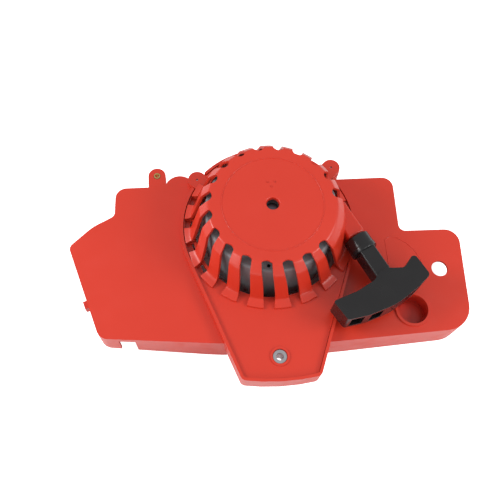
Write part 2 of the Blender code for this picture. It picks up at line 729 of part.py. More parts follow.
def reel_case():
    """The pressed steel cup that hangs inside the dome and shields the reel."""
    top = CASE_TOP
    inner = CASE_RADIUS - CASE_WALL
    profile = [
        (CASE_RADIUS - 2 * MM, top), (CASE_RADIUS, top - 2 * MM), (CASE_RADIUS, CASE_BOTTOM),
        (inner, CASE_BOTTOM), (inner, top - 2.5 * MM), (inner - 1 * MM, top - CASE_WALL),
        (5.3 * MM, top - CASE_WALL), (5.3 * MM, top),
    ]
    case = turned("reel_case", profile, base, STEEL, steps=48)
    window = (-8 * MM, -7.5 * MM, -GROOVE_WIDTH / 2), (34 * MM, 5 * MM, GROOVE_WIDTH / 2)
    cut(case, block("rope_window", *window, pull_line))
    for i in range(CASE_SCREWS):
        at = polar(CASE_SCREW_CIRCLE, 360 / CASE_SCREWS * (i + 0.5))
        cut(case, rod("case_hole", 2.0 * MM, 0, CASE_TOP + CUT, base, at=at, steps=12))
        at = polar(CASE_VENT_CIRCLE, 360 / CASE_SCREWS * (i + 1) + CASE_VENT_TURN)
        cut(case, rod("case_vent", 1.6 * MM, 0, CASE_TOP + CUT, base, at=at, steps=12))
    return case


def axle_post():
    """The stepped post that the reel turns on, riveted into the case."""
    flange = CASE_TOP - CASE_WALL - GAP
    turned("axle_post", [
        (0, CASE_TOP + 1.5 * MM), (5.0 * MM, CASE_TOP + 1.5 * MM), (5.0 * MM, flange),
        (11.5 * MM, flange), (11.5 * MM, flange - 1.2 * MM), (POST_RADIUS, flange - 1.2 * MM),
        (POST_RADIUS, POST_BOTTOM), (SCREW_RADIUS + GAP, POST_BOTTOM),
        (SCREW_RADIUS + GAP, POST_BOTTOM + 16 * MM), (0, POST_BOTTOM + 16 * MM),
    ], base, STEEL, steps=32)


def spring_cup():
    """The pressed cup that holds the recoil spring under the case's top."""
    top = CASE_TOP - CASE_WALL - GAP
    gauge = 0.9 * MM
    outer = SPRING_RADIUS + 2.2 * MM
    turned("spring_cup", [
        (outer, top), (outer, REEL_TOP + RUN_GAP), (outer - gauge, REEL_TOP + RUN_GAP),
        (outer - gauge, top - gauge), (12.2 * MM, top - gauge), (12.2 * MM, top),
    ], base, STEEL, steps=36)


def recoil_spring():
    """A flat spiral strip, from the reel's arbor out to the cup's wall."""
    start = REEL_BORE + ARBOR_WALL + 2 * GAP + SPRING_STRIP
    count = SPRING_TURNS * 16
    inner, outer = [], []
    for i in range(count + 1):
        angle = 360 * SPRING_TURNS * i / count
        radius = start + (SPRING_RADIUS - start) * i / count
        outer.append(polar(radius + SPRING_STRIP / 2, angle))
        inner.append(polar(radius - SPRING_STRIP / 2, angle))
    low = REEL_TOP + RUN_GAP
    slab("recoil_spring", outer + inner[::-1], low, low + SPRING_HEIGHT, base, SPRING)


def rope_eyelet():
    """The hard ring in the boss that the rope rubs on."""
    start, end = EYELET
    length = end - start
    outer = BOSS_BORE - GAP
    bore = ROPE_DIAMETER / 2 + 0.7 * MM
    turned("rope_eyelet", [
        (outer, length), (outer, 0), (bore + 1.6 * MM, 0), (bore, 2.5 * MM),
        (bore, length - 2 * MM), (bore + 1.2 * MM, length),
    ], pull_line, STEEL, steps=24, turn=ALONG, place=(start, 0, 0))


def sleeves():
    """The steel sleeve in the tongue and the brass insert in the side lug."""
    x, y = TONGUE_BOSS
    bore, wall = SLEEVE_BORE, SLEEVE_WALL
    top = PLATE_TOP - 0.6 * MM
    shelf = PLATE_TOP - 1.8 * MM + GAP
    turned("tongue_sleeve", [
        (bore + wall + 1.6 * MM, top), (bore + wall + 1.6 * MM, shelf), (bore + wall, shelf),
        (bore + wall, TONGUE_BOTTOM), (bore, TONGUE_BOTTOM), (bore, top),
    ], base, STEEL, steps=24, place=(x, y, 0))
    top = DECK_TOP + 0.3 * MM
    turned("lug_insert", [
        (SIDE_LUG_BORE, top), (SIDE_LUG_BORE, DECK_TOP - SIDE_LUG_DEPTH),
        (SIDE_LUG_BORE - 0.9 * MM, DECK_TOP - SIDE_LUG_DEPTH), (SIDE_LUG_BORE - 0.9 * MM, top),
    ], base, BRASS, steps=20, place=(*SIDE_LUG, 0))


def fixed_screws():
    """Screws for the case, the cover and the axle post."""
    for i in range(CASE_SCREWS):
        at = polar(CASE_SCREW_CIRCLE, 360 / CASE_SCREWS * (i + 0.5))
        seat = CASE_TOP - CASE_WALL - GAP
        screw(f"case_screw_{i + 1}", at, seat, 3.6 * MM, 8.5 * MM, 1.7 * MM, base)
    for (at, _), name in zip(ears(), ("left", "right")):
        seat = EAR_SEAT - GAP
        length = EAR_TOP - 1.5 * MM - seat
        screw(f"cover_screw_{name}", at, seat, 4.2 * MM, length, EAR_SCREW, base)
    washer_top = FRICTION_BOTTOM - GAP
    turned("thrust_washer", [
        (9.5 * MM, washer_top), (9.5 * MM, washer_top - 1.2 * MM),
        (SCREW_RADIUS + GAP, washer_top - 1.2 * MM), (SCREW_RADIUS + GAP, washer_top),
    ], base, STEEL, steps=24)
    screw("centre_screw", (0, 0), washer_top - 1.5 * MM, 6.0 * MM, 19 * MM, SCREW_RADIUS, base)


# --- turning parts ---------------------------------------------------------------------------


def reel():
    """The rope reel: two flanges, a groove, and an arbor that the spring hooks onto."""
    hub = REEL_BORE + 5 * MM
    arbor_top = REEL_TOP + RUN_GAP + SPRING_HEIGHT
    profile = [
        (REEL_BORE + ARBOR_WALL, arbor_top), (REEL_BORE + ARBOR_WALL, REEL_TOP),
        (REEL_RADIUS, REEL_TOP), (REEL_RADIUS, GROOVE_HIGH), (GROOVE_FLOOR, GROOVE_HIGH),
        (GROOVE_FLOOR, GROOVE_LOW), (REEL_RADIUS, GROOVE_LOW), (REEL_RADIUS, REEL_BOTTOM),
        (hub, REEL_BOTTOM), (hub, REEL_BOTTOM - 3 * MM), (REEL_BORE, REEL_BOTTOM - 3 * MM),
        (REEL_BORE, arbor_top),
    ]
    body = turned("reel", profile, rotor, REEL_GREY, steps=40)
    for i in range(2):
        at = polar(PAWL_CIRCLE, 180 * i)
        hole = rod("pin_hole", PAWL_PIN + GAP, 0, REEL_BOTTOM + 5 * MM, rotor, at=at, steps=16)
        cut(body, hole)
    for i in range(6):
        at = polar(24 * MM, 60 * i + 30)
        cut(body, rod("reel_core", 6 * MM, REEL_BOTTOM + 8 * MM, REEL_TOP + CUT, rotor, at=at,
                      steps=12))
    knot_hole = (GROOVE_FLOOR - 13 * MM, -3 * MM, GROOVE_LOW + 1 * MM), (
        GROOVE_FLOOR + CUT, 3 * MM, GROOVE_LOW + 7 * MM)
    cut(body, block("knot_pocket", *knot_hole, rotor, turn=radians(90)))


def reel_fittings():
    """Bush, wound rope, rope's inner knot and the pawls' pins."""
    low = REEL_BOTTOM - 3 * MM
    turned("reel_bush", [
        (REEL_BORE - GAP, REEL_TOP), (REEL_BORE - GAP, low), (POST_RADIUS + RUN_GAP, low),
        (POST_RADIUS + RUN_GAP, REEL_TOP),
    ], rotor, BRONZE, steps=32)
    coil_outer = rope_coil_radius()
    soft = 1.5 * MM
    turned("rope_coil", [
        (coil_outer - soft, GROOVE_HIGH - GAP), (coil_outer, GROOVE_HIGH - GAP - soft),
        (coil_outer, GROOVE_LOW + GAP + soft), (coil_outer - soft, GROOVE_LOW + GAP),
        (GROOVE_FLOOR + GAP, GROOVE_LOW + GAP), (GROOVE_FLOOR + GAP, GROOVE_HIGH - GAP),
    ], rotor, CORD, steps=36)
    for i, name in enumerate("ab"):
        at = polar(PAWL_CIRCLE, 180 * i)
        turned(f"pawl_pin_{name}", [
            (0, REEL_BOTTOM + 4 * MM), (PAWL_PIN, REEL_BOTTOM + 4 * MM),
            (PAWL_PIN, PAWL_BOTTOM - 1.9 * MM), (PAWL_PIN + 1.4 * MM, PAWL_BOTTOM - 1.9 * MM),
            (PAWL_PIN + 1.4 * MM, PAWL_BOTTOM - 2.7 * MM), (0, PAWL_BOTTOM - 2.7 * MM),
        ], rotor, STEEL, steps=16, place=(*at, 0))


def rope_coil_radius():
    """The wound rope's outer radius, a rope's thickness inside the flanges."""
    return REEL_RADIUS - ROPE_DIAMETER + 0.7 * MM


def reel_knot():
    """The knot that anchors the rope in the reel."""
    mesh = bpy.data.meshes.new("reel_knot")
    bm = bmesh.new()
    bmesh.ops.create_uvsphere(bm, u_segments=12, v_segments=8, radius=2.6 * MM)
    bm.to_mesh(mesh)
    bm.free()
    knot = bpy.data.objects.new("reel_knot", mesh)
    knot.location = (0, GROOVE_FLOOR - 5 * MM, GROOVE_LOW + 4 * MM)
    finish(knot, rotor, CORD)


def pawls():
    """Two pawls that swing out to catch the engine's cup, each with a small return spring."""
    for i, name in enumerate("ab"):
        pivot = empty(f"pawl_{name}_axis", (*polar(PAWL_CIRCLE, 180 * i), 0), rotor, pi * i)
        half = PAWL_WIDTH / 2
        outline = (
            arc((0, 0), PAWL_WIDTH * 0.75, 10, 170, 20.0)
            + [(-half, -PAWL_LENGTH + 4 * MM), (-half + 1 * MM, -PAWL_LENGTH), (half, -PAWL_LENGTH)]
        )
        pawl = slab(f"pawl_{name}", outline, PAWL_BOTTOM, PAWL_TOP, pivot, STEEL)
        bore = rod("pawl_bore", PAWL_PIN + GAP, 0, DOME_TOP, pivot, steps=20)
        cut(pawl, bore)
        pawl_spring(name, pivot)


def pawl_spring(name, pivot):
    """A two-turn torsion spring round the pin, under the pawl."""
    gauge = 0.5 * MM
    radius = PAWL_PIN + 0.7 * MM
    low = PAWL_BOTTOM - 1.55 * MM
    count = 24
    coil = []
    for i in range(count + 1):
        angle = 720 * i / count + 90
        coil.append((*polar(radius, angle), low + 1.2 * MM * i / count))
    leg = (-6 * MM, 3 * MM, low + 1.2 * MM)
    wire(f"pawl_spring_{name}", coil + [leg], gauge, pivot, SPRING, sides=1)


def friction_parts():
    """The drag plate that pushes the pawls out, and the spring that presses it."""
    ear = CAM_POST
    outline = []
    for turn in (0, 180):
        start = degrees(atan2(ear[1], ear[0])) + turn
        tip = polar(hypot(*ear), start)
        outline += arc(tip, 3.5 * MM, start - 90, start + 90, 30.0)
        outline += arc((0, 0), PLATE_DISC, start + 20, start + 160, 12.0)
    plate = slab("friction_plate", outline, FRICTION_BOTTOM, FRICTION_TOP, plate_axis, STEEL)
    for turn in (0, 180):
        angle = degrees(atan2(ear[1], ear[0])) + turn
        join(plate, rod("cam_post", CAM_POST_RADIUS, FRICTION_BOTTOM + 0.5 * MM,
                        PAWL_TOP - 1.5 * MM, plate_axis, at=polar(hypot(*ear), angle), steps=16))
    cut(plate, rod("plate_bore", SCREW_RADIUS + RUN_GAP, 0, DOME_TOP, plate_axis))
    gauge = 1.2 * MM
    low = FRICTION_TOP + GAP + gauge / 2
    high = REEL_BOTTOM - 3 * MM - GAP - gauge / 2
    turns, count = 3, 36
    coil = []
    for i in range(count + 1):
        angle = 360 * turns * i / count
        coil.append((*polar(POST_RADIUS + 2.2 * MM, angle), low + (high - low) * i / count))
    wire("friction_spring", coil, gauge, plate_axis, SPRING, sides=1)


# --- rope and handle -------------------------------------------------------------------------


def rope_route():
    """From the reel's rope, tangent to it, through the eyelet and straight to the handle."""
    radius = rope_coil_radius() + GAP + ROPE_DIAMETER / 2
    mouth = pull_point(EYELET[0] - 3 * MM)
    reach = (mouth[0] ** 2 + mouth[1] ** 2 - radius**2) ** 0.5
    leave = degrees(atan2(mouth[1], mouth[0])) + degrees(atan2(reach, radius))
    start = Vector(polar(radius, leave))
    bend = Vector(mouth)
    end = Vector(pull_point(HANDLE_FACE + GRIP_START + 7 * MM))
    before = bend + (start - bend).normalized() * 9 * MM
    after = bend + (end - bend).normalized() * 9 * MM
    route = [start + (before - start) * t / 3 for t in range(3)]
    for i in range(7):
        t = i / 6
        route.append(before * (1 - t) ** 2 + bend * 2 * t * (1 - t) + after * t**2)
    route += [after + (end - after) * t / 6 for t in range(1, 7)]
    return [(p.x, p.y, PULL_HEIGHT) for p in route]


def rope_run():
    wire("rope_run", rope_route(), ROPE_DIAMETER, base, CORD, sides=2)


def grip_outline():
    """The bar's outline: a bowed outer edge, blunt ends, and an inner edge cut back."""
    near, far = GRIP_START, GRIP_START + GRIP_END_DEPTH
    bow = GRIP_START + GRIP_MID_DEPTH
    return rounded([
        (near + 1 * MM, -GRIP_LEFT, 2 * MM),
        (far + 0.5 * MM, -GRIP_LEFT + 2 * MM, 3 * MM),
        (bow - 3.2 * MM, -GRIP_LEFT + 20 * MM, 30 * MM),
        (bow, -8 * MM, 60 * MM),
        (bow - 3.2 * MM, 16 * MM, 30 * MM),
        (far + 1.5 * MM, GRIP_RIGHT, 4 * MM),
        (near + 1 * MM, GRIP_RIGHT - 1 * MM, 3 * MM),
        (near, GRIP_RIGHT - 4.5 * MM, 2 * MM),
        (near + 5.5 * MM, 17 * MM, 6 * MM),
        (near + 1 * MM, 8 * MM, 4 * MM),
        (near - 1.5 * MM, 4 * MM, 0),
        (near - 1.5 * MM, -4 * MM, 0),
        (near + 2.5 * MM, -12 * MM, 6 * MM),
        (near + 3.5 * MM, -30 * MM, 20 * MM),
    ], 20.0)


def handle():
    """The pull handle: collar, neck and bar in one moulding, with the rope's end inside it."""
    half = GRIP_THICK / 2
    grip = slab("handle_grip", grip_outline(), -half, half, pull_axis, BLACK)
    neck = block("neck", (COLLAR_LENGTH - 2 * MM, -NECK_WIDTH / 2, -NECK_HEIGHT / 2),
                 (GRIP_START + 6 * MM, NECK_WIDTH / 2, NECK_HEIGHT / 2), pull_axis)
    bevel(neck, 2.5 * MM, 2)
    collar = turned("collar", [
        (0, COLLAR_LENGTH), (COLLAR_RADIUS - 1 * MM, COLLAR_LENGTH),
        (COLLAR_RADIUS, COLLAR_LENGTH - 1 * MM), (COLLAR_RADIUS, 1 * MM),
        (COLLAR_RADIUS - 1 * MM, 0), (0, 0),
    ], pull_axis, turn=ALONG, steps=32)
    join(grip, neck, collar)
    bevel_free_bore = ROPE_DIAMETER / 2 + 0.7 * MM
    length = GRIP_START + GRIP_MID_DEPTH + 5 * MM
    bore = turned("handle_bore", [
        (0, length), (7.5 * MM, length), (7.5 * MM, GRIP_START + 8 * MM),
        (bevel_free_bore, GRIP_START + 8 * MM), (bevel_free_bore, -CUT), (0, -CUT),
    ], pull_axis, turn=ALONG, steps=24)
    cut(grip, bore)
    for across in (-41, -24, 18):
        pocket = (GRIP_START + GRIP_END_DEPTH - 8 * MM, (across - 5.5) * MM, -half + 3 * MM), (
            GRIP_START + GRIP_MID_DEPTH + 5 * MM, (across + 5.5) * MM, half - 3 * MM)
        cut(grip, block("grip_pocket", *pocket, pull_axis))
    rope_end()


def rope_end():
    """The washer and knot that hold the rope in the handle's pocket."""
    seat = GRIP_START + 8 * MM + GAP
    bore = ROPE_DIAMETER / 2 + 0.7 * MM
    turned("rope_washer", [
        (7.0 * MM, 1.2 * MM), (7.0 * MM, 0), (bore, 0), (bore, 1.2 * MM),
    ], pull_axis, STEEL, turn=ALONG, place=(seat, 0, 0), steps=24)
    mesh = bpy.data.meshes.new("rope_knot")
    bm = bmesh.new()
    bmesh.ops.create_uvsphere(bm, u_segments=14, v_segments=10, radius=5.2 * MM)
    bm.to_mesh(mesh)
    bm.free()
    knot = bpy.data.objects.new("rope_knot", mesh)
    knot.location = (seat + 1.2 * MM + GAP + 5.2 * MM, 0, 0)
    finish(knot, pull_axis, CORD)


engine_shroud()
starter_cover()
reel_case()
axle_post()
spring_cup()
recoil_spring()
rope_eyelet()
sleeves()
fixed_screws()
reel()
reel_fittings()
reel_knot()
pawls()
friction_parts()
rope_run()
handle()
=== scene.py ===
# %% [markdown]
# # A recoil starter
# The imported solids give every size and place. This lesson makes the surfaces that are seen: the
# moulded shroud, the slotted dome, the pressed steel case behind the slots, the pull handle and
# the rope. Everything else keeps its solid and gets a finish of its own.

# %% Load the frame
import json
from math import atan2, ceil, cos, degrees, floor, hypot, pi, radians, sin, tan

import bmesh
import bpy
from mathutils import Matrix, Vector


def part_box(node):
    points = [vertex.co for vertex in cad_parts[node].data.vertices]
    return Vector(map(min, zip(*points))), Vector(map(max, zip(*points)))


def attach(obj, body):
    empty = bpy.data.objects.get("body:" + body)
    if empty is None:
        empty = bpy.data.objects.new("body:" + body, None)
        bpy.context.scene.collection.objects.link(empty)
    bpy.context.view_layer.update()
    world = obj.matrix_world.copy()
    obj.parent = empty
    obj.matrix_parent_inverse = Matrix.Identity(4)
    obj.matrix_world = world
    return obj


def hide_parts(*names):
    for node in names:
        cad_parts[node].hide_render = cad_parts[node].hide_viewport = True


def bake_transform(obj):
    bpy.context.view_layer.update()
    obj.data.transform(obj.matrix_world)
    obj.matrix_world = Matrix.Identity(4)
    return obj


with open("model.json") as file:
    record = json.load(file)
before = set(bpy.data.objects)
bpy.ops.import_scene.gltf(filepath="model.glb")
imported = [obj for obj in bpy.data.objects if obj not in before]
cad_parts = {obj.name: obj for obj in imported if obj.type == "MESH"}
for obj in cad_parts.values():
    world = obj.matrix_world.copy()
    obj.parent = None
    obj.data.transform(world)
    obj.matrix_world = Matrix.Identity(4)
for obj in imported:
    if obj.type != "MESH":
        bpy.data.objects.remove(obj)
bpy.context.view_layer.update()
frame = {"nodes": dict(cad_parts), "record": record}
bpy.ops.object.select_all(action="DESELECT")
nodes = frame["nodes"]
MM = 0.001

# %% [markdown]
# ## Places that come from the frame
# The reel turns about an upright axis through the middle of its post. Heights are read from the
# solids, so the surfaces made here land on the same planes.

# %% Read the main planes and the two axes
post_low, post_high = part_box("axle_post")
AXIS = (post_low + post_high) / 2
AXIS.z = 0.0
LIP_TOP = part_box("engine_shroud")[1].z
DOME_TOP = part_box("starter_cover")[1].z
case_low, case_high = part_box("reel_case")
LIP_HEIGHT = 2.5 * MM
PLATE_TOP = LIP_TOP - LIP_HEIGHT
PLATE_THICK = 2.7 * MM
DECK_TOP = PLATE_TOP - 5.0 * MM
WALL = 2.5 * MM
FIT = 0.3 * MM
PULL_HEIGHT = (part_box("rope_run")[0].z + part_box("rope_run")[1].z) / 2
PULL_ANGLE = -63.7
PULL_OFFSET = 55.6 * MM
BOSS_END = 52.0 * MM
print("axis", [round(v, 4) for v in AXIS], "plate top", round(PLATE_TOP, 4))


def turn_point(radius, angle):
    return radius * cos(radians(angle)), radius * sin(radians(angle))


def pull_place(along, across=0.0, up=0.0):
    """A place along and beside the rope's line."""
    ahead = Vector((*turn_point(1.0, PULL_ANGLE), 0))
    side = Vector((-ahead.y, ahead.x, 0))
    return AXIS + side * (PULL_OFFSET + across) + ahead * along + Vector((0, 0, PULL_HEIGHT + up))


# %% [markdown]
# ## The camera and the light
# The object is looked at from above and a little to the left. A pale sheet, a white sky and
# large soft lamps give the even light of a catalogue.

# %% Camera, lamps and floor
scene = bpy.context.scene
scene.view_settings.view_transform = "Standard"
camera_data = bpy.data.cameras.new("camera")
camera_data.lens = 48.5
camera_data.sensor_width = 36.0
camera = bpy.data.objects.new("camera", camera_data)
right = Vector((0.99668, -0.06780, 0.04497))
up = Vector((0.04555, 0.92299, 0.38211))
back = right.cross(up).normalized()
camera.matrix_world = Matrix((right, up, back)).transposed().to_4x4()
camera.location = AXIS + Vector((-0.05882, -0.24776, 0.55093 + PLATE_TOP))
scene.collection.objects.link(camera)
scene.camera = camera

world = bpy.data.worlds.new("studio")
world.use_nodes = True
world.node_tree.nodes["Background"].inputs["Color"].default_value = (1.0, 1.0, 1.0, 1.0)
world.node_tree.nodes["Background"].inputs["Strength"].default_value = 0.62
scene.world = world


def lamp(name, place, aim, size, power):
    """A square soft lamp that looks at a point."""
    data = bpy.data.lights.new(name, "AREA")
    data.size = size
    data.energy = power
    obj = bpy.data.objects.new(name, data)
    obj.location = place
    obj.rotation_euler = (Vector(aim) - Vector(place)).to_track_quat("-Z", "Y").to_euler()
    scene.collection.objects.link(obj)


lamp("key", (-1.05, 0.1, 0.75), AXIS, 0.5, 9.0)
lamp("fill", (1.0, -0.25, 0.8), AXIS, 0.6, 7.0)
lamp("front_left", (-0.9, -0.75, 0.3), AXIS, 0.3, 1.6)
lamp("front_right", (0.65, -0.8, 0.4), AXIS, 0.25, 1.6)

SHADED_RADIUS = 78 * MM  # under the housing the paper keeps its natural shade


def white_paper():
    """A matt paper that the camera sees as pure white, though it lights nothing."""
    paint = bpy.data.materials.new("floor_paper")
    paint.use_nodes = True
    tree = paint.node_tree
    paper = tree.nodes["Principled BSDF"]
    paper.inputs["Base Color"].default_value = (0.9, 0.9, 0.9, 1)
    paper.inputs["Roughness"].default_value = 0.8
    paper.inputs["Emission Color"].default_value = (1, 1, 1, 1)
    rays, place = tree.nodes.new("ShaderNodeLightPath"), tree.nodes.new("ShaderNodeNewGeometry")
    far = tree.nodes.new("ShaderNodeVectorMath")
    outside, glow = tree.nodes.new("ShaderNodeMath"), tree.nodes.new("ShaderNodeMath")
    far.operation, outside.operation, glow.operation = "DISTANCE", "GREATER_THAN", "MULTIPLY"
    far.inputs[1].default_value = (AXIS.x, AXIS.y, 0)
    outside.inputs[1].default_value = SHADED_RADIUS
    for start, end in ((place.outputs["Position"], far.inputs[0]),
                       (far.outputs["Value"], outside.inputs[0]),
                       (outside.outputs[0], glow.inputs[0]),
                       (rays.outputs["Is Camera Ray"], glow.inputs[1]),
                       (glow.outputs[0], paper.inputs["Emission Strength"])):
        tree.links.new(start, end)
    return paint


bpy.ops.mesh.primitive_plane_add(size=6.0, location=(0, 0, -0.0004))
floor_sheet = bpy.context.object
floor_sheet.name = "floor_sheet"
floor_sheet.data.materials.append(white_paper())
print("camera, four lamps and the floor are in place")

# %% [markdown]
# ## Finishes
# A moulded surface is never one flat value. A shared group gives slow changes of shade, a fine
# orange-peel skin and a scatter of rubbed patches, and each finish sets how much of each it has.

# %% Node groups


def socket(group, name, way, kind, value=None):
    made = group.interface.new_socket(name=name, in_out=way, socket_type=kind)
    if value is not None:
        made.default_value = value
    return made


def add(tree, kind, place, **settings):
    node = tree.nodes.new(kind)
    node.location = place
    for key, value in settings.items():
        setattr(node, key, value)
    return node


def skin_group():
    """Shade, roughness and height of a moulded or pressed surface."""
    group = bpy.data.node_groups.new("surface_skin", "ShaderNodeTree")
    for name, value in (("Mottle Scale", 14.0), ("Grain Scale", 700.0), ("Rub", 0.3),
                        ("Roughness", 0.35), ("Spread", 0.08)):
        socket(group, name, "INPUT", "NodeSocketFloat", value)
    socket(group, "Light Tone", "INPUT", "NodeSocketColor", (0.8, 0.8, 0.8, 1))
    socket(group, "Dark Tone", "INPUT", "NodeSocketColor", (0.6, 0.6, 0.6, 1))
    socket(group, "Colour", "OUTPUT", "NodeSocketColor")
    socket(group, "Roughness", "OUTPUT", "NodeSocketFloat")
    socket(group, "Height", "OUTPUT", "NodeSocketFloat")
    given = add(group, "NodeGroupInput", (-900, 0))
    out = add(group, "NodeGroupOutput", (500, 0))
    where = add(group, "ShaderNodeTexCoord", (-900, 300))
    slow = add(group, "ShaderNodeTexNoise", (-600, 300))
    grain = add(group, "ShaderNodeTexNoise", (-600, 0))
    rubbed = add(group, "ShaderNodeTexNoise", (-600, -300))
    slow.inputs["Detail"].default_value = 4.0
    grain.inputs["Detail"].default_value = 2.0
    rubbed.inputs["Scale"].default_value = 55.0
    rubbed.inputs["Detail"].default_value = 6.0
    rubbed.inputs["Distortion"].default_value = 0.6
    for texture in (slow, grain, rubbed):
        group.links.new(where.outputs["Object"], texture.inputs["Vector"])
    group.links.new(given.outputs["Mottle Scale"], slow.inputs["Scale"])
    group.links.new(given.outputs["Grain Scale"], grain.inputs["Scale"])
    tone = add(group, "ShaderNodeMix", (-100, 300), data_type="RGBA")
    group.links.new(slow.outputs["Fac"], tone.inputs["Factor"])
    group.links.new(given.outputs["Dark Tone"], tone.inputs["A"])
    group.links.new(given.outputs["Light Tone"], tone.inputs["B"])
    group.links.new(tone.outputs["Result"], out.inputs["Colour"])
    patches = add(group, "ShaderNodeMapRange", (-350, -300))
    patches.inputs["From Min"].default_value = 0.48
    patches.inputs["From Max"].default_value = 0.72
    group.links.new(rubbed.outputs["Fac"], patches.inputs["Value"])
    worn = add(group, "ShaderNodeMath", (-100, -300), operation="MULTIPLY")
    group.links.new(patches.outputs["Result"], worn.inputs[0])
    group.links.new(given.outputs["Rub"], worn.inputs[1])
    spread = add(group, "ShaderNodeMath", (100, -300), operation="MULTIPLY_ADD")
    group.links.new(worn.outputs["Value"], spread.inputs[0])
    group.links.new(given.outputs["Spread"], spread.inputs[1])
    group.links.new(given.outputs["Roughness"], spread.inputs[2])
    group.links.new(spread.outputs["Value"], out.inputs["Roughness"])
    group.links.new(grain.outputs["Fac"], out.inputs["Height"])
    return group


SKIN = skin_group()


def finish_of(name, light, dark, roughness, metallic=0.0, grain=700.0, depth=0.02, rub=0.4,
              spread=0.2, mottle=14.0, coat=0.0):
    """A material that draws its colour, roughness and bump from the shared skin."""
    mat = bpy.data.materials.new(name)
    mat.use_nodes = True
    tree = mat.node_tree
    shader = tree.nodes["Principled BSDF"]
    shader.inputs["Metallic"].default_value = metallic
    shader.inputs["Coat Weight"].default_value = coat
    shader.inputs["Coat Roughness"].default_value = 0.12
    skin = add(tree, "ShaderNodeGroup", (-500, 0), node_tree=SKIN)
    skin.inputs["Light Tone"].default_value = (*light, 1.0)
    skin.inputs["Dark Tone"].default_value = (*dark, 1.0)
    skin.inputs["Roughness"].default_value = roughness
    skin.inputs["Grain Scale"].default_value = grain
    skin.inputs["Mottle Scale"].default_value = mottle
    skin.inputs["Rub"].default_value = rub
    skin.inputs["Spread"].default_value = spread
    bump = add(tree, "ShaderNodeBump", (-220, -250))
    bump.inputs["Strength"].default_value = 0.35
    bump.inputs["Distance"].default_value = depth * MM
    tree.links.new(skin.outputs["Colour"], shader.inputs["Base Color"])
    tree.links.new(skin.outputs["Roughness"], shader.inputs["Roughness"])
    tree.links.new(skin.outputs["Height"], bump.inputs["Height"])
    tree.links.new(bump.outputs["Normal"], shader.inputs["Normal"])
    return mat


RED = finish_of("moulded_red", (0.63, 0.036, 0.016), (0.57, 0.03, 0.012), 0.3, depth=0.03, rub=0.5)
BLACK = finish_of("moulded_black", (0.009, 0.0085, 0.0095), (0.005, 0.0045, 0.005), 0.22,
                  grain=900.0, depth=0.015, rub=0.5)
NYLON = finish_of("reel_nylon", (0.1, 0.1, 0.105), (0.05, 0.05, 0.053), 0.5, depth=0.05)
CASE_STEEL = finish_of("pressed_steel", (0.23, 0.233, 0.245), (0.17, 0.173, 0.185), 0.6,
                       grain=320.0, depth=0.04, mottle=30.0)
ZINC = finish_of("zinc_plate", (0.62, 0.62, 0.64), (0.42, 0.43, 0.46), 0.3, metallic=1.0,
                 grain=450.0, mottle=90.0)
BLUED = finish_of("blued_spring", (0.16, 0.17, 0.2), (0.08, 0.085, 0.11), 0.28, metallic=1.0)
BRASS = finish_of("turned_brass", (0.78, 0.58, 0.24), (0.6, 0.42, 0.15), 0.24, metallic=1.0)
BRONZE = finish_of("sintered_bronze", (0.5, 0.32, 0.16), (0.33, 0.2, 0.1), 0.45, metallic=0.9)
ROPE = finish_of("braided_rope", (0.06, 0.06, 0.065), (0.02, 0.02, 0.022), 0.75, grain=1500.0,
                 depth=0.25, mottle=600.0)
print("finishes:", len(bpy.data.materials))

# %% [markdown]
# ## Small tools of the bench
# Each tool does one thing that a person does by hand: pick one object, go into edit mode, run
# the modifiers in, or grow a turned shape ring by ring from a circle.

# %% Helpers for selecting, applying and finishing


def only(obj):
    bpy.ops.object.select_all(action="DESELECT")
    obj.select_set(True)
    bpy.context.view_layer.objects.active = obj
    return obj


def run_in(obj):
    """Applies every modifier on an object, in order."""
    only(obj)
    for modifier in list(obj.modifiers):
        bpy.ops.object.modifier_apply(modifier=modifier.name)


def tidy_faces(obj, distance=1e-6):
    """Merges doubled points and turns every face outwards."""
    only(obj)
    bpy.ops.object.mode_set(mode="EDIT")
    bpy.ops.mesh.select_all(action="SELECT")
    bpy.ops.mesh.remove_doubles(threshold=distance)
    bpy.ops.mesh.normals_make_consistent(inside=False)
    bpy.ops.object.mode_set(mode="OBJECT")


def place_in_mesh(obj):
    only(obj)
    bpy.ops.object.transform_apply(location=True, rotation=True, scale=True)


def join_on(target, tool, operation="UNION"):
    """Adds a tool's shape to a piece or cuts it out, and removes the tool."""
    modifier = target.modifiers.new("shape", "BOOLEAN")
    modifier.operation = operation
    modifier.solver = "EXACT"
    modifier.object = tool
    run_in(target)
    bpy.data.objects.remove(tool, do_unlink=True)


def carve(target, *tools):
    for tool in tools:
        join_on(target, tool, "DIFFERENCE")


def soften(obj, width, segments=3, angle=32.0):
    """Rounds the sharp edges of a piece, after its flat faces are cleaned."""
    only(obj)
    bpy.ops.object.mode_set(mode="EDIT")
    bpy.ops.mesh.select_all(action="SELECT")
    bpy.ops.mesh.remove_doubles(threshold=0.02 * MM)
    bpy.ops.mesh.dissolve_limited(angle_limit=radians(0.5))
    bpy.ops.object.mode_set(mode="OBJECT")
    bevel = obj.modifiers.new("round", "BEVEL")
    bevel.width = width
    bevel.segments = segments
    bevel.limit_method = "ANGLE"
    bevel.angle_limit = radians(angle)
    bevel.use_clamp_overlap = True
    bevel.miter_outer = "MITER_ARC"
    run_in(obj)


def give(obj, material, body, slot, *stands_for, smooth=35.0):
    """The last step for each new piece: its finish, its shading and the body that it rides on."""
    place_in_mesh(obj)
    obj.data.materials.clear()
    obj.data.materials.append(material)
    only(obj)
    bpy.ops.object.shade_smooth_by_angle(angle=radians(smooth))
    weigh = obj.modifiers.new("weigh", "WEIGHTED_NORMAL")
    weigh.keep_sharp = True
    weigh.weight = 100
    run_in(obj)
    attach(obj, body)
    if stands_for:
        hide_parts(*stands_for)
    obj.select_set(False)
    print(obj.name, len(obj.data.polygons), "faces")
    return obj


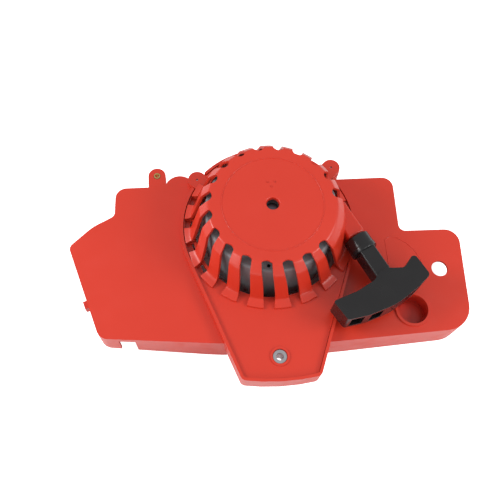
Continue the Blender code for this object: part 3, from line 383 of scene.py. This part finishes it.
# %% [markdown]
# ## Helpers for shapes
# Turned pieces grow from a profile, moulded ones from an outline that is pushed up.

# %% Helpers for shapes


def grow(name, profile, centre, steps=96, first_turn=0.0, close=False):
    """A turned shape: a circle at the first (radius, height), then a ring for each of the rest."""
    radius, height = profile[0]
    bpy.ops.mesh.primitive_circle_add(
        vertices=steps, radius=radius, location=(centre.x, centre.y, height),
        rotation=(0, 0, first_turn),
    )
    obj = bpy.context.object
    obj.name = name
    place_in_mesh(obj)
    bpy.ops.object.mode_set(mode="EDIT")
    bpy.ops.mesh.select_all(action="SELECT")
    for radius_next, height_next in profile[1:]:
        step = (0, 0, height_next - height)
        bpy.ops.mesh.extrude_region_move(TRANSFORM_OT_translate={"value": step})
        share = radius_next / radius
        bpy.ops.transform.resize(
            value=(share, share, 1.0), center_override=(centre.x, centre.y, height_next)
        )
        radius, height = radius_next, height_next
    bpy.ops.object.mode_set(mode="OBJECT")
    if close:
        only(obj)
        bpy.ops.object.mode_set(mode="EDIT")
        bpy.ops.mesh.select_all(action="DESELECT")
        bpy.ops.mesh.select_non_manifold(extend=False)
        bpy.ops.mesh.bridge_edge_loops()
        bpy.ops.object.mode_set(mode="OBJECT")
    tidy_faces(obj)
    return obj


def rod(name, radius, low, high, x, y, steps=48):
    """An upright plain cylinder, for booleans."""
    bpy.ops.mesh.primitive_cylinder_add(
        vertices=steps, radius=radius, depth=high - low,
        location=(AXIS.x + x, AXIS.y + y, (low + high) / 2),
    )
    obj = bpy.context.object
    obj.name = name
    place_in_mesh(obj)
    return obj


def brick(name, low, high, turn=0.0, origin=None):
    """A box between two corners, in the axis's frame or in a turned one."""
    low, high = Vector(low), Vector(high)
    bpy.ops.mesh.primitive_cube_add(size=1.0, scale=high - low, location=(low + high) / 2)
    obj = bpy.context.object
    obj.name = name
    place_in_mesh(obj)
    origin = AXIS if origin is None else origin
    obj.data.transform(Matrix.Translation(origin) @ Matrix.Rotation(turn, 4, "Z"))
    return obj


def slab(name, outline, low, high, turn=0.0, origin=None):
    """A flat curve, filled, made a mesh and given its thickness."""
    curve = bpy.data.curves.new(name, "CURVE")
    curve.dimensions = "2D"
    curve.fill_mode = "BOTH"
    curve.extrude = (high - low) / 2
    spline = curve.splines.new("POLY")
    spline.points.add(len(outline) - 1)
    for point, (x, y) in zip(spline.points, outline):
        point.co = (x, y, 0, 1)
    spline.use_cyclic_u = True
    obj = bpy.data.objects.new(name, curve)
    bpy.context.scene.collection.objects.link(obj)
    only(obj)
    bpy.ops.object.convert(target="MESH")
    origin = AXIS if origin is None else origin
    shift = Matrix.Translation(origin + Vector((0, 0, (low + high) / 2)))
    obj.data.transform(shift @ Matrix.Rotation(turn, 4, "Z"))
    tidy_faces(obj)
    return obj


def arc(centre, radius, start, end, step=4.0):
    count = max(1, ceil(abs(end - start) / step))
    turns = [start + (end - start) * i / count for i in range(count + 1)]
    return [(centre[0] + turn_point(radius, a)[0], centre[1] + turn_point(radius, a)[1])
            for a in turns]


def rounded(corners, step=12.0):
    """An outline of (x, y, radius) corners, each given its round."""
    outline = []
    for i, (x, y, radius) in enumerate(corners):
        here = Vector((x, y))
        before = (Vector(corners[i - 1][:2]) - here).normalized()
        after = (Vector(corners[(i + 1) % len(corners)][:2]) - here).normalized()
        if radius <= 0:
            outline.append((x, y))
            continue
        half = before.angle(after) / 2
        middle = here + (before + after).normalized() * (radius / sin(half))
        first = here + before * (radius / tan(half)) - middle
        last = here + after * (radius / tan(half)) - middle
        start = degrees(atan2(first.y, first.x))
        sweep = (degrees(atan2(last.y, last.x)) - start + 180) % 360 - 180
        outline += arc(middle, radius, start, start + sweep, step)
    return outline


def inset(corners, distance):
    """The same corners moved in, for an outline that runs anticlockwise."""
    moved = []
    for i, (x, y, radius) in enumerate(corners):
        here = Vector((x, y))
        inward = (here - Vector(corners[i - 1][:2])).normalized()
        outward = (Vector(corners[(i + 1) % len(corners)][:2]) - here).normalized()
        normal_in = Vector((-inward.y, inward.x))
        normal_out = Vector((-outward.y, outward.x))
        bisector = (normal_in + normal_out).normalized()
        shift = bisector * (distance / bisector.dot(normal_in))
        convex = inward.cross(outward) > 0
        grown = max(radius - distance, 0.0) if convex else radius + distance
        moved.append((x + shift.x, y + shift.y, grown))
    return moved


def tab(at, radius, facing, root, grown=0.0):
    """A lug's outline: half a circle facing one way, with straight sides back to its root."""
    radius += grown
    back_x, back_y = turn_point(root, facing + 180)
    ends = [turn_point(radius, facing + side) for side in (90, -90)]
    sides = [(at[0] + back_x + x, at[1] + back_y + y) for x, y in ends]
    return arc(at, radius, facing - 90, facing + 90, 6.0) + sides


# %% [markdown]
# ## The two outlines
# The cover is a circle drawn out into a tongue. The wings are an irregular plate under it. Both
# are kept as a few corners with a radius each, so that a change stays easy.

# %% Outlines of the cover and of the wings
TEAR_RADIUS = 79.3 * MM
FLANK_ANGLE = 20.7
TONGUE_REACH = 137.2 * MM
TONGUE_CROWN = 2.8 * MM
LIP_WIDTH = 2.5 * MM
LEDGE_WIDTH = 6.0 * MM
EAR_RADIUS = 8.2 * MM
EAR_ROOT = 12.0 * MM
BUMP_RADIUS = 13.8 * MM
TONGUE_DEPTH = 22 * MM
SIDE_LUG_RADIUS = 8 * MM
SIDE_LUG_BORE = 3.2 * MM
POCKET_RADIUS = 13.2 * MM
POCKET_WALL = 2.3 * MM
POCKET_DEPTH = 15 * MM
WING_HOLE_RADIUS = 7.25 * MM
EARS = [((x * MM, y * MM), degrees(atan2(y, x))) for x, y in ((-62.6, 50.0), (62.8, 57.6))]
TONGUE_BOSS = (0.0, -118.6 * MM)


def teardrop(distance=0.0):
    radius = TEAR_RADIUS - distance
    end = -(TONGUE_REACH - distance)
    lean = radians(FLANK_ANGLE)
    half = (radius + end * sin(lean)) / cos(lean)
    corner = max(6.0 * MM - distance, 1.0 * MM)
    start = turn_point(radius, -FLANK_ANGLE)
    bow = [(half * t, end - TONGUE_CROWN * (1 - t * t), 0.0) for t in (-0.5, 0.0, 0.5)]
    tongue = [(-start[0], start[1], 0.0), (-half, end, corner), *bow, (half, end, corner),
              (start[0], start[1], 0.0)]
    return rounded(tongue) + arc((0, 0), radius, -FLANK_ANGLE, 180 + FLANK_ANGLE, 2.5)[1:-1]


def rear_round(distance=0.0):
    """The round part of the same outline, with the same points on its curve."""
    return arc((0, 0), TEAR_RADIUS - distance, -FLANK_ANGLE, 180 + FLANK_ANGLE, 2.5)


WINGS = [
    (46 * MM, -107.4 * MM, 0),
    (170 * MM, -101.8 * MM, 23 * MM),
    (174.4 * MM, -8 * MM, 13 * MM),
    (119.6 * MM, -7.5 * MM, 6 * MM),
    (121 * MM, 48.3 * MM, 10 * MM),
    (-137.5 * MM, 47.3 * MM, 10 * MM),
    (-138.4 * MM, 19.7 * MM, 6 * MM),
    (-158 * MM, 9.5 * MM, 40 * MM),
    (-178.3 * MM, -9 * MM, 6 * MM),
    (-150.4 * MM, -93.8 * MM, 10 * MM),
    (-47 * MM, -103.8 * MM, 0),
]
print("wing outline:", len(rounded(WINGS)), "points; cover outline:", len(teardrop()), "points")

# %% [markdown]
# ## The slotted dome
# The real dome is moulded in one piece with its slats. A cage of rings and columns is grown
# downwards from the centre hole, the faces in each slot are deleted, and the rings are twisted so
# that the slots lean. Solidify gives the wall and Subdivision Surface rounds every slot's edge,
# which a cut through a finished dome wouldn't do.

# %% Grow, slot and thicken the dome
SLOT_PITCH = 18.0
SLOT_PHASE = -76.4
SLOT_TWIST = -5.4
COLUMN = 3.0
DOME_WALL = 2.6 * MM
DOME_RINGS = [  # radius, height above the plate, half a slot in degrees
    (5.35, 43.2, 4.5), (5.35, 46.9, 4.5), (5.9, 47.7, 4.5), (7.0, 47.98, 4.5), (20.0, 48.0, 4.5),
    (42.4, 48.0, 4.5), (42.9, 47.8, 4.5), (43.4, 48.0, 4.5), (48.0, 48.0, 4.5),
    (53.6, 48.0, 4.7), (55.0, 47.4, 4.7), (56.6, 45.4, 4.6), (59.4, 41.6, 4.5),
    (61.3, 39.1, 4.4), (62.1, 37.2, 4.4), (63.2, 32.5, 4.3), (65.2, 24.5, 4.2), (67.4, 15.5, 4.2),
    (69.4, 7.6, 4.2), (70.1, 5.0, 4.1), (71.4, 3.9, 3.9), (73.4, 3.2, 3.6), (75.4, 2.5, 3.5),
    (75.9, 2.3, 3.5), (76.15, 1.9, 3.5), (76.2, -0.6, 3.5),
]
TIP_RING = 9
TIP_REACH = {1: -2.1 * MM, 2: -2.1 * MM}  # how far the middle of a slot's arch goes in


def slot_twist(height):
    """How far a ring is turned at a height over the plate, in degrees."""
    return SLOT_TWIST * (min(max(height / (48.0 * MM), 0.0), 1.0) ** 1.6)


def near_boss(centre):
    """Whether the rope boss stands where this slot would be."""
    reach = pull_place(BOSS_END - 5 * MM) - AXIS
    facing = degrees(atan2(reach.y, reach.x))
    return abs((centre - facing + 180) % 360 - 180) < SLOT_PITCH


def dome_cage():
    first = SLOT_PHASE - SLOT_PITCH / 4
    rings = [(r * MM, PLATE_TOP + z * MM) for r, z, _ in DOME_RINGS]
    dome = grow("dome_cage", rings, AXIS, round(360 / COLUMN), radians(first % COLUMN))
    bm = bmesh.new()
    bm.from_mesh(dome.data)
    doomed = []
    for face in bm.faces:
        middle = face.calc_center_median() - AXIS
        column = floor(((degrees(atan2(middle.y, middle.x)) - first) % 360) / COLUMN)
        slot, place = divmod(column, 6)
        blocked = near_boss(SLOT_PHASE + slot * SLOT_PITCH)
        if place < 3 and not blocked and hypot(middle.x, middle.y) > rings[TIP_RING][0]:
            doomed.append(face)
    bmesh.ops.delete(bm, geom=doomed, context="FACES")
    for vert in bm.verts:
        place = vert.co - AXIS
        radius, angle = hypot(place.x, place.y), degrees(atan2(place.y, place.x))
        ring = min(range(len(rings)),
                   key=lambda i: hypot(rings[i][0] - radius, rings[i][1] - place.z))
        step = round(((angle - first) % 360) / COLUMN) % 120
        slot, side = divmod(step, 6)
        if side in (0, 3) and ring >= TIP_RING:
            angle += (DOME_RINGS[ring][2] - 4.5) * (1 if side else -1)
        if ring == TIP_RING and side in TIP_REACH and not near_boss(SLOT_PHASE + slot * SLOT_PITCH):
            radius += TIP_REACH[side]
        if radius > 75 * MM and place.y < -30 * MM:
            radius += 1.4 * MM
        angle += slot_twist(place.z - PLATE_TOP)
        vert.co = AXIS + Vector((*turn_point(radius, angle), place.z))
    bm.to_mesh(dome.data)
    bm.free()
    wall = dome.modifiers.new("wall", "SOLIDIFY")
    wall.thickness = DOME_WALL
    wall.offset = -1.0
    wall.edge_crease_inner = wall.edge_crease_outer = 0.7
    fine = dome.modifiers.new("fine", "SUBSURF")
    fine.levels = fine.render_levels = 2
    run_in(dome)
    return dome


give(dome_cage(), RED, "housing", "red_plastic", "starter_cover", smooth=50.0)

# %% [markdown]
# ## The cover's plate, ears and ringed boss
# The plate drops inside the shroud's lip and leaves the thin dark line that shows the joint. Its
# shapes are joined first and rounded together, so each meeting edge gets a small fillet.

# %% Model the plate
SLEEVE_BORE = 4.5 * MM


def cover_plate():
    low = PLATE_TOP - PLATE_THICK
    plate = slab("cover_plate", teardrop(LIP_WIDTH + FIT), low, PLATE_TOP)
    for at, facing in EARS:
        ear = slab("ear", tab(at, EAR_RADIUS, facing, EAR_ROOT), low, PLATE_TOP + 1.6 * MM)
        join_on(plate, ear)
        carve(plate, rod("ear_vent", 1.1 * MM, low - MM, DOME_TOP, *at, 24))
    x, y = TONGUE_BOSS
    join_on(plate, rod("boss_ring", 8.2 * MM, low - 10 * MM, PLATE_TOP + 0.9 * MM, x, y, 64))
    carve(
        plate,
        rod("boss_counterbore", 6.3 * MM, PLATE_TOP - 1.8 * MM, DOME_TOP, x, y, 64),
        rod("boss_bore", SLEEVE_BORE, 0, DOME_TOP, x, y),
        rod("opening", 66.5 * MM, 0, DOME_TOP, 0, 0, 120),
    )
    for index in range(11, 17):
        middle = SLOT_PHASE + SLOT_PITCH * index
        sector = (arc((0, 0), 75.6 * MM, middle - 3.4, middle + 3.4, 2.0)
                  + arc((0, 0), 69.0 * MM, middle + 3.6, middle - 3.6, 2.0))
        carve(plate, slab("foot_gap", sector, low - MM, PLATE_TOP + MM))
    soften(plate, 0.45 * MM, 2)
    return plate


give(cover_plate(), RED, "housing", "red_plastic")

# %% [markdown]
# ## The rope boss
# A box-shaped snout runs along the rope's line and dies into the dome's flank.

# %% Model the boss


def rope_boss():
    half = 8.2 * MM
    low = LIP_TOP + 0.7 * MM - PULL_HEIGHT
    origin = pull_place(0)
    turn = radians(PULL_ANGLE)
    boss = brick("rope_boss_skin", (19 * MM, -half, low), (BOSS_END, half, half), turn, origin)
    soften(boss, 2.4 * MM, 4)
    carve(boss, rod("room", 60.5 * MM, 0, DOME_TOP, 0, 0, 96))
    bpy.ops.mesh.primitive_cylinder_add(
        vertices=48, radius=6.5 * MM, depth=70 * MM, location=pull_place(40 * MM),
        rotation=(0, pi / 2, turn),
    )
    bore = bpy.context.object
    place_in_mesh(bore)
    carve(boss, bore)
    return boss


give(rope_boss(), RED, "housing", "red_plastic")

# %% [markdown]
# ## The shroud
# Two prisms are joined, the raised teardrop and the wings, and both are hollowed from below.
# The lower edge of the skirt rises towards each end, the way the crankcase under it does.

# %% Model the shroud
SKIRT_START = 60 * MM
SKIRT_RISES = ((-1, 178.3 * MM, 14.0 * MM), (1, 174.4 * MM, 7.0 * MM))
WING_HOLE = (150.5 * MM, -45.8 * MM)
POCKET = (120.1 * MM, -82.4 * MM)
SIDE_LUG = (-99.6 * MM, 58.9 * MM)
BUMP = (-79.0 * MM, 44.2 * MM)


def skirt_wedge(side, reach, rise):
    end = reach + 10 * MM
    height = rise * (end - SKIRT_START) / (reach - SKIRT_START)
    outline = [(SKIRT_START, -MM), (end, -MM), (end, height), (SKIRT_START, 0)]
    wedge = slab("wedge", outline, -0.2, 0.2, origin=Vector((0, 0, 0)))
    turn = Matrix.Rotation(0 if side > 0 else pi, 4, "Z") @ Matrix.Rotation(pi / 2, 4, "X")
    wedge.data.transform(Matrix.Translation(AXIS) @ turn)
    return wedge


def tongue_hollow():
    inner = teardrop(WALL)
    left, right_side = WINGS[-1], WINGS[0]
    slope = (right_side[1] - left[1]) / (right_side[0] - left[0])
    lean = tan(radians(FLANK_ANGLE))
    ends = []
    for side, (x, y, _) in ((1, right_side), (-1, left)):
        edge = y + 0.5 * MM
        reach = (TEAR_RADIUS - WALL) / cos(radians(FLANK_ANGLE)) + edge * lean
        ends.append((side * reach, edge + slope * (side * reach - x)))
    keep = [p for p in inner if p[1] < left[1] - 4 * MM]
    return slab("tongue_hollow", keep + ends, -4 * MM, PLATE_TOP - 6 * MM)


def shroud_skin():
    shroud = slab("shroud_skin", rounded(WINGS), 0, DECK_TOP)
    join_on(shroud, slab("rear_round", rear_round(), 0, DECK_TOP))
    join_on(shroud, rod("bump", BUMP_RADIUS, 0, DECK_TOP, *BUMP, 40))
    join_on(shroud, slab("lip_block", teardrop(), LIP_TOP - TONGUE_DEPTH, LIP_TOP))
    carve(
        shroud,
        slab("wing_hollow", rounded(inset(WINGS, WALL)), -MM, DECK_TOP - WALL),
        slab("round_hollow", rear_round(WALL), -2 * MM, DECK_TOP - WALL - FIT),
        rod("bump_hollow", BUMP_RADIUS - WALL, -3 * MM, DECK_TOP - WALL - 2 * FIT, *BUMP, 40),
        tongue_hollow(),
        slab("recess", teardrop(LIP_WIDTH), PLATE_TOP - 3 * MM, LIP_TOP + MM),
        slab("opening", teardrop(LIP_WIDTH + LEDGE_WIDTH), DECK_TOP - 5.5 * MM, PLATE_TOP - MM),
    )
    for at, facing in EARS:
        join_on(shroud, slab("pad", tab(at, EAR_RADIUS, facing, EAR_ROOT, 0.4 * MM),
                             DECK_TOP - 14 * MM, PLATE_TOP - 3.3 * MM))
        carve(shroud, slab("ear_room", tab(at, EAR_RADIUS, facing, EAR_ROOT, 1.4 * MM),
                           PLATE_TOP - 3.15 * MM, LIP_TOP + MM))
    corner, front = Vector(WINGS[8][:2]), Vector(WINGS[9][:2])
    along = (front - corner).normalized()
    outward = Vector((along.y, -along.x))
    outline = [corner + along * (s * MM) + outward * (t * MM)
               for s, t in ((46.5, -1), (46.5, 4.6), (53.5, 4.6), (53.5, -1))]
    join_on(shroud, slab("side_tab", [tuple(p) for p in outline], 10 * MM, 22 * MM))
    lug = tab(SIDE_LUG, SIDE_LUG_RADIUS, 90, 14.6 * MM)
    join_on(shroud, slab("lug", lug, DECK_TOP - 9 * MM, DECK_TOP - 0.03 * MM))
    carve(shroud, rod("lug_bore", SIDE_LUG_BORE, 0, LIP_TOP, *SIDE_LUG))
    floor_level = DECK_TOP - POCKET_DEPTH
    join_on(shroud, rod("cup", POCKET_RADIUS + POCKET_WALL, floor_level - WALL, DECK_TOP + 1.5 * MM,
                        *POCKET, 72))
    carve(shroud, rod("cup_room", POCKET_RADIUS, floor_level, DECK_TOP + 3 * MM, *POCKET, 72))
    join_on(shroud, rod("cup_step", POCKET_RADIUS - 3 * MM, floor_level - MM, floor_level + 1.2 * MM,
                        *POCKET, 60))
    carve(shroud, rod("wing_hole", WING_HOLE_RADIUS, 0, LIP_TOP, *WING_HOLE, 64))
    for side, reach, rise in SKIRT_RISES:
        carve(shroud, skirt_wedge(side, reach, rise))
    carve(shroud, brick("notch", (-135 * MM, -105 * MM, -MM),
                        (-121 * MM, -88 * MM, DECK_TOP - 7 * MM)))
    soften(shroud, 0.8 * MM, 3)
    return shroud


give(shroud_skin(), RED, "housing", "red_plastic", "engine_shroud")

# %% [markdown]
# ## Small raised marks
# A moulding carries shallow marks from its tool: three dots near the centre hole and the outline
# of a fan's sector on the right wing. Each is a thin bead laid on the surface.

# %% Lay the beads


def bead(name, points, height, width):
    """A thin rounded ridge along a line of (x, y) points, in the axis's frame."""
    curve = bpy.data.curves.new(name, "CURVE")
    curve.dimensions = "3D"
    curve.bevel_depth = width / 2
    curve.bevel_resolution = 3
    curve.use_fill_caps = True
    spline = curve.splines.new("POLY")
    spline.points.add(len(points) - 1)
    for point, (x, y) in zip(spline.points, points):
        point.co = (AXIS.x + x, AXIS.y + y, height, 1)
    obj = bpy.data.objects.new(name, curve)
    bpy.context.scene.collection.objects.link(obj)
    only(obj)
    bpy.ops.object.convert(target="MESH")
    return obj


def tool_marks():
    sector = bead("tool_marks", [(x * MM, y * MM) for x, y in (
        (105, -41), (105, -16), (110, -12.4), (117, -14.5), (124, -19.5), (130, -26.5),
        (134, -34), (135.5, -40))], DECK_TOP - 0.05 * MM, 0.8 * MM)
    ring = bead("ring", arc((0, 0), 43 * MM, 0, 360, 3.0), DOME_TOP - 0.12 * MM, 0.8 * MM)
    for x, y in ((-3.2, 20.0), (3.0, 20.0), (-0.2, 15.5)):
        dot = bead("dot", [((x - 0.2) * MM, y * MM), ((x + 0.2) * MM, y * MM)], DOME_TOP, 1.8 * MM)
        join_on(sector, dot)
    join_on(sector, ring)
    return sector


give(tool_marks(), RED, "housing", "red_plastic", smooth=60.0)

# %% [markdown]
# ## The steel case behind the slots
# A pressed cup: a flat top, a small radius where the sheet was drawn, and a straight wall.

# %% Grow the case


def case_skin():
    radius = (case_high.x - case_low.x) / 2
    top, low, gauge = case_high.z, case_low.z, 1.5 * MM
    bend = 2.2 * MM
    outer = [(radius - bend + bend * sin(a), top - bend + bend * cos(a))
             for a in (radians(15 * i) for i in range(7))]
    rings = [(5.3 * MM, top)] + outer + [
        (radius, low), (radius - gauge, low), (radius - gauge, top - bend - gauge),
        (radius - bend - gauge / 2, top - gauge), (5.3 * MM, top - gauge),
    ]
    case = grow("case_skin", rings, AXIS, 120, close=True)
    for i in range(4):
        x, y = turn_point(52 * MM, 90 * (i + 1) - 7.6)
        carve(case, rod("vent", 1.6 * MM, 0, LIP_TOP + 50 * MM, x, y, 24))
    return case


give(case_skin(), CASE_STEEL, "housing", "case_steel", "reel_case", smooth=30.0)

# %% [markdown]
# ## The pull handle
# One moulding: a collar that meets the boss, a short neck, and a bowed bar for three fingers.
# The bar's outline is drawn flat and given its depth, and then its edges are rolled.

# %% Model the handle
GRIP_START = 40.0 * MM
COLLAR = 14.8 * MM


def grip_outline():
    near, far, bow = GRIP_START, GRIP_START + 20 * MM, GRIP_START + 29 * MM
    return rounded([
        (near + 1 * MM, -52 * MM, 2 * MM),
        (far + 0.5 * MM, -50 * MM, 3 * MM),
        (bow - 3.2 * MM, -32 * MM, 30 * MM),
        (bow, -8 * MM, 60 * MM),
        (bow - 3.2 * MM, 16 * MM, 30 * MM),
        (far + 1.5 * MM, 32.4 * MM, 4 * MM),
        (near + 1 * MM, 31.4 * MM, 3 * MM),
        (near, 27.9 * MM, 2 * MM),
        (near + 5.5 * MM, 17 * MM, 6 * MM),
        (near + 1 * MM, 8 * MM, 4 * MM),
        (near - 1.5 * MM, 4 * MM, 0),
        (near - 1.5 * MM, -4 * MM, 0),
        (near + 2.5 * MM, -12 * MM, 6 * MM),
        (near + 3.5 * MM, -30 * MM, 20 * MM),
    ], 8.0)


def pull_handle():
    origin = pull_place(BOSS_END + FIT)
    turn = radians(PULL_ANGLE)
    half = (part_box("handle_grip")[1].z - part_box("handle_grip")[0].z) / 2
    grip = slab("pull_handle", grip_outline(), -half, half, turn, origin)
    for across in (-41, -24, 18):
        pocket = brick("pocket", (GRIP_START + 12 * MM, (across - 5.5) * MM, 3 * MM - half),
                       (GRIP_START + 34 * MM, (across + 5.5) * MM, half - 3 * MM), turn, origin)
        carve(grip, pocket)
    soften(grip, 1.6 * MM, 4)
    neck = brick("neck", (COLLAR - 2 * MM, -7.5 * MM, -9.5 * MM),
                 (GRIP_START + 6 * MM, 7.5 * MM, 9.5 * MM), turn, origin)
    soften(neck, 2.2 * MM, 4)
    join_on(grip, neck)
    rings = [(3.4, 0.4), (10.8, 0.0), (11.5, 0.7), (11.6, 9.8), (11.9, 10.4), (12.0, 10.9),
             (12.0, 14.0), (11.4, 14.8), (3.4, 14.8)]
    collar = grow("collar", [(r * MM, z * MM) for r, z in rings], Vector((0, 0, 0)), 72, close=True)
    laid = Matrix.Rotation(turn, 4, "Z") @ Matrix.Rotation(pi / 2, 4, "Y")
    collar.data.transform(Matrix.Translation(origin) @ laid)
    join_on(grip, collar)
    return grip


give(pull_handle(), BLACK, "handle", "black_plastic", "handle_grip")

# %% [markdown]
# ## The rope
# It leaves the reel, turns through the eyelet and runs straight into the handle.

# %% Draw the rope


def rope_line():
    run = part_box("rope_run")
    diameter = run[1].z - run[0].z
    start, end = pull_place(20 * MM), pull_place(BOSS_END + FIT + GRIP_START + 7 * MM)
    curve = bpy.data.curves.new("rope_line", "CURVE")
    curve.dimensions = "3D"
    curve.bevel_depth = diameter / 2
    curve.bevel_resolution = 6
    curve.use_fill_caps = True
    spline = curve.splines.new("POLY")
    count = 60
    spline.points.add(count)
    for i, point in enumerate(spline.points):
        point.co = (*(start + (end - start) * i / count), 1)
    obj = bpy.data.objects.new("rope_line", curve)
    bpy.context.scene.collection.objects.link(obj)
    only(obj)
    bpy.ops.object.convert(target="MESH")
    tidy_faces(obj)
    return obj


rope = rope_line()
rope.data.materials.append(ROPE)
only(rope)
bpy.ops.object.shade_smooth_by_angle(angle=radians(40))
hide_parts("rope_run")
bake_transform(rope)

# %% [markdown]
# ## Finishes for the solids that stay
# Every node that is still shown gets the finish of its own stuff, by its material slot.

# %% Give the kept solids their finishes
FINISHES = {
    "reel_nylon": NYLON, "zinc_steel": ZINC, "spring_steel": BLUED, "brass": BRASS,
    "bronze": BRONZE, "rope": ROPE, "red_plastic": RED, "black_plastic": BLACK,
    "case_steel": CASE_STEEL,
}
for entry in frame["record"]["subparts"]:
    obj = nodes[entry["node"]]
    obj.data.materials.clear()
    obj.data.materials.append(FINISHES[entry["material_slot"]])
nodes["axle_post"].data.materials.clear()
nodes["axle_post"].data.materials.append(BLUED)
print("kept solids finished")
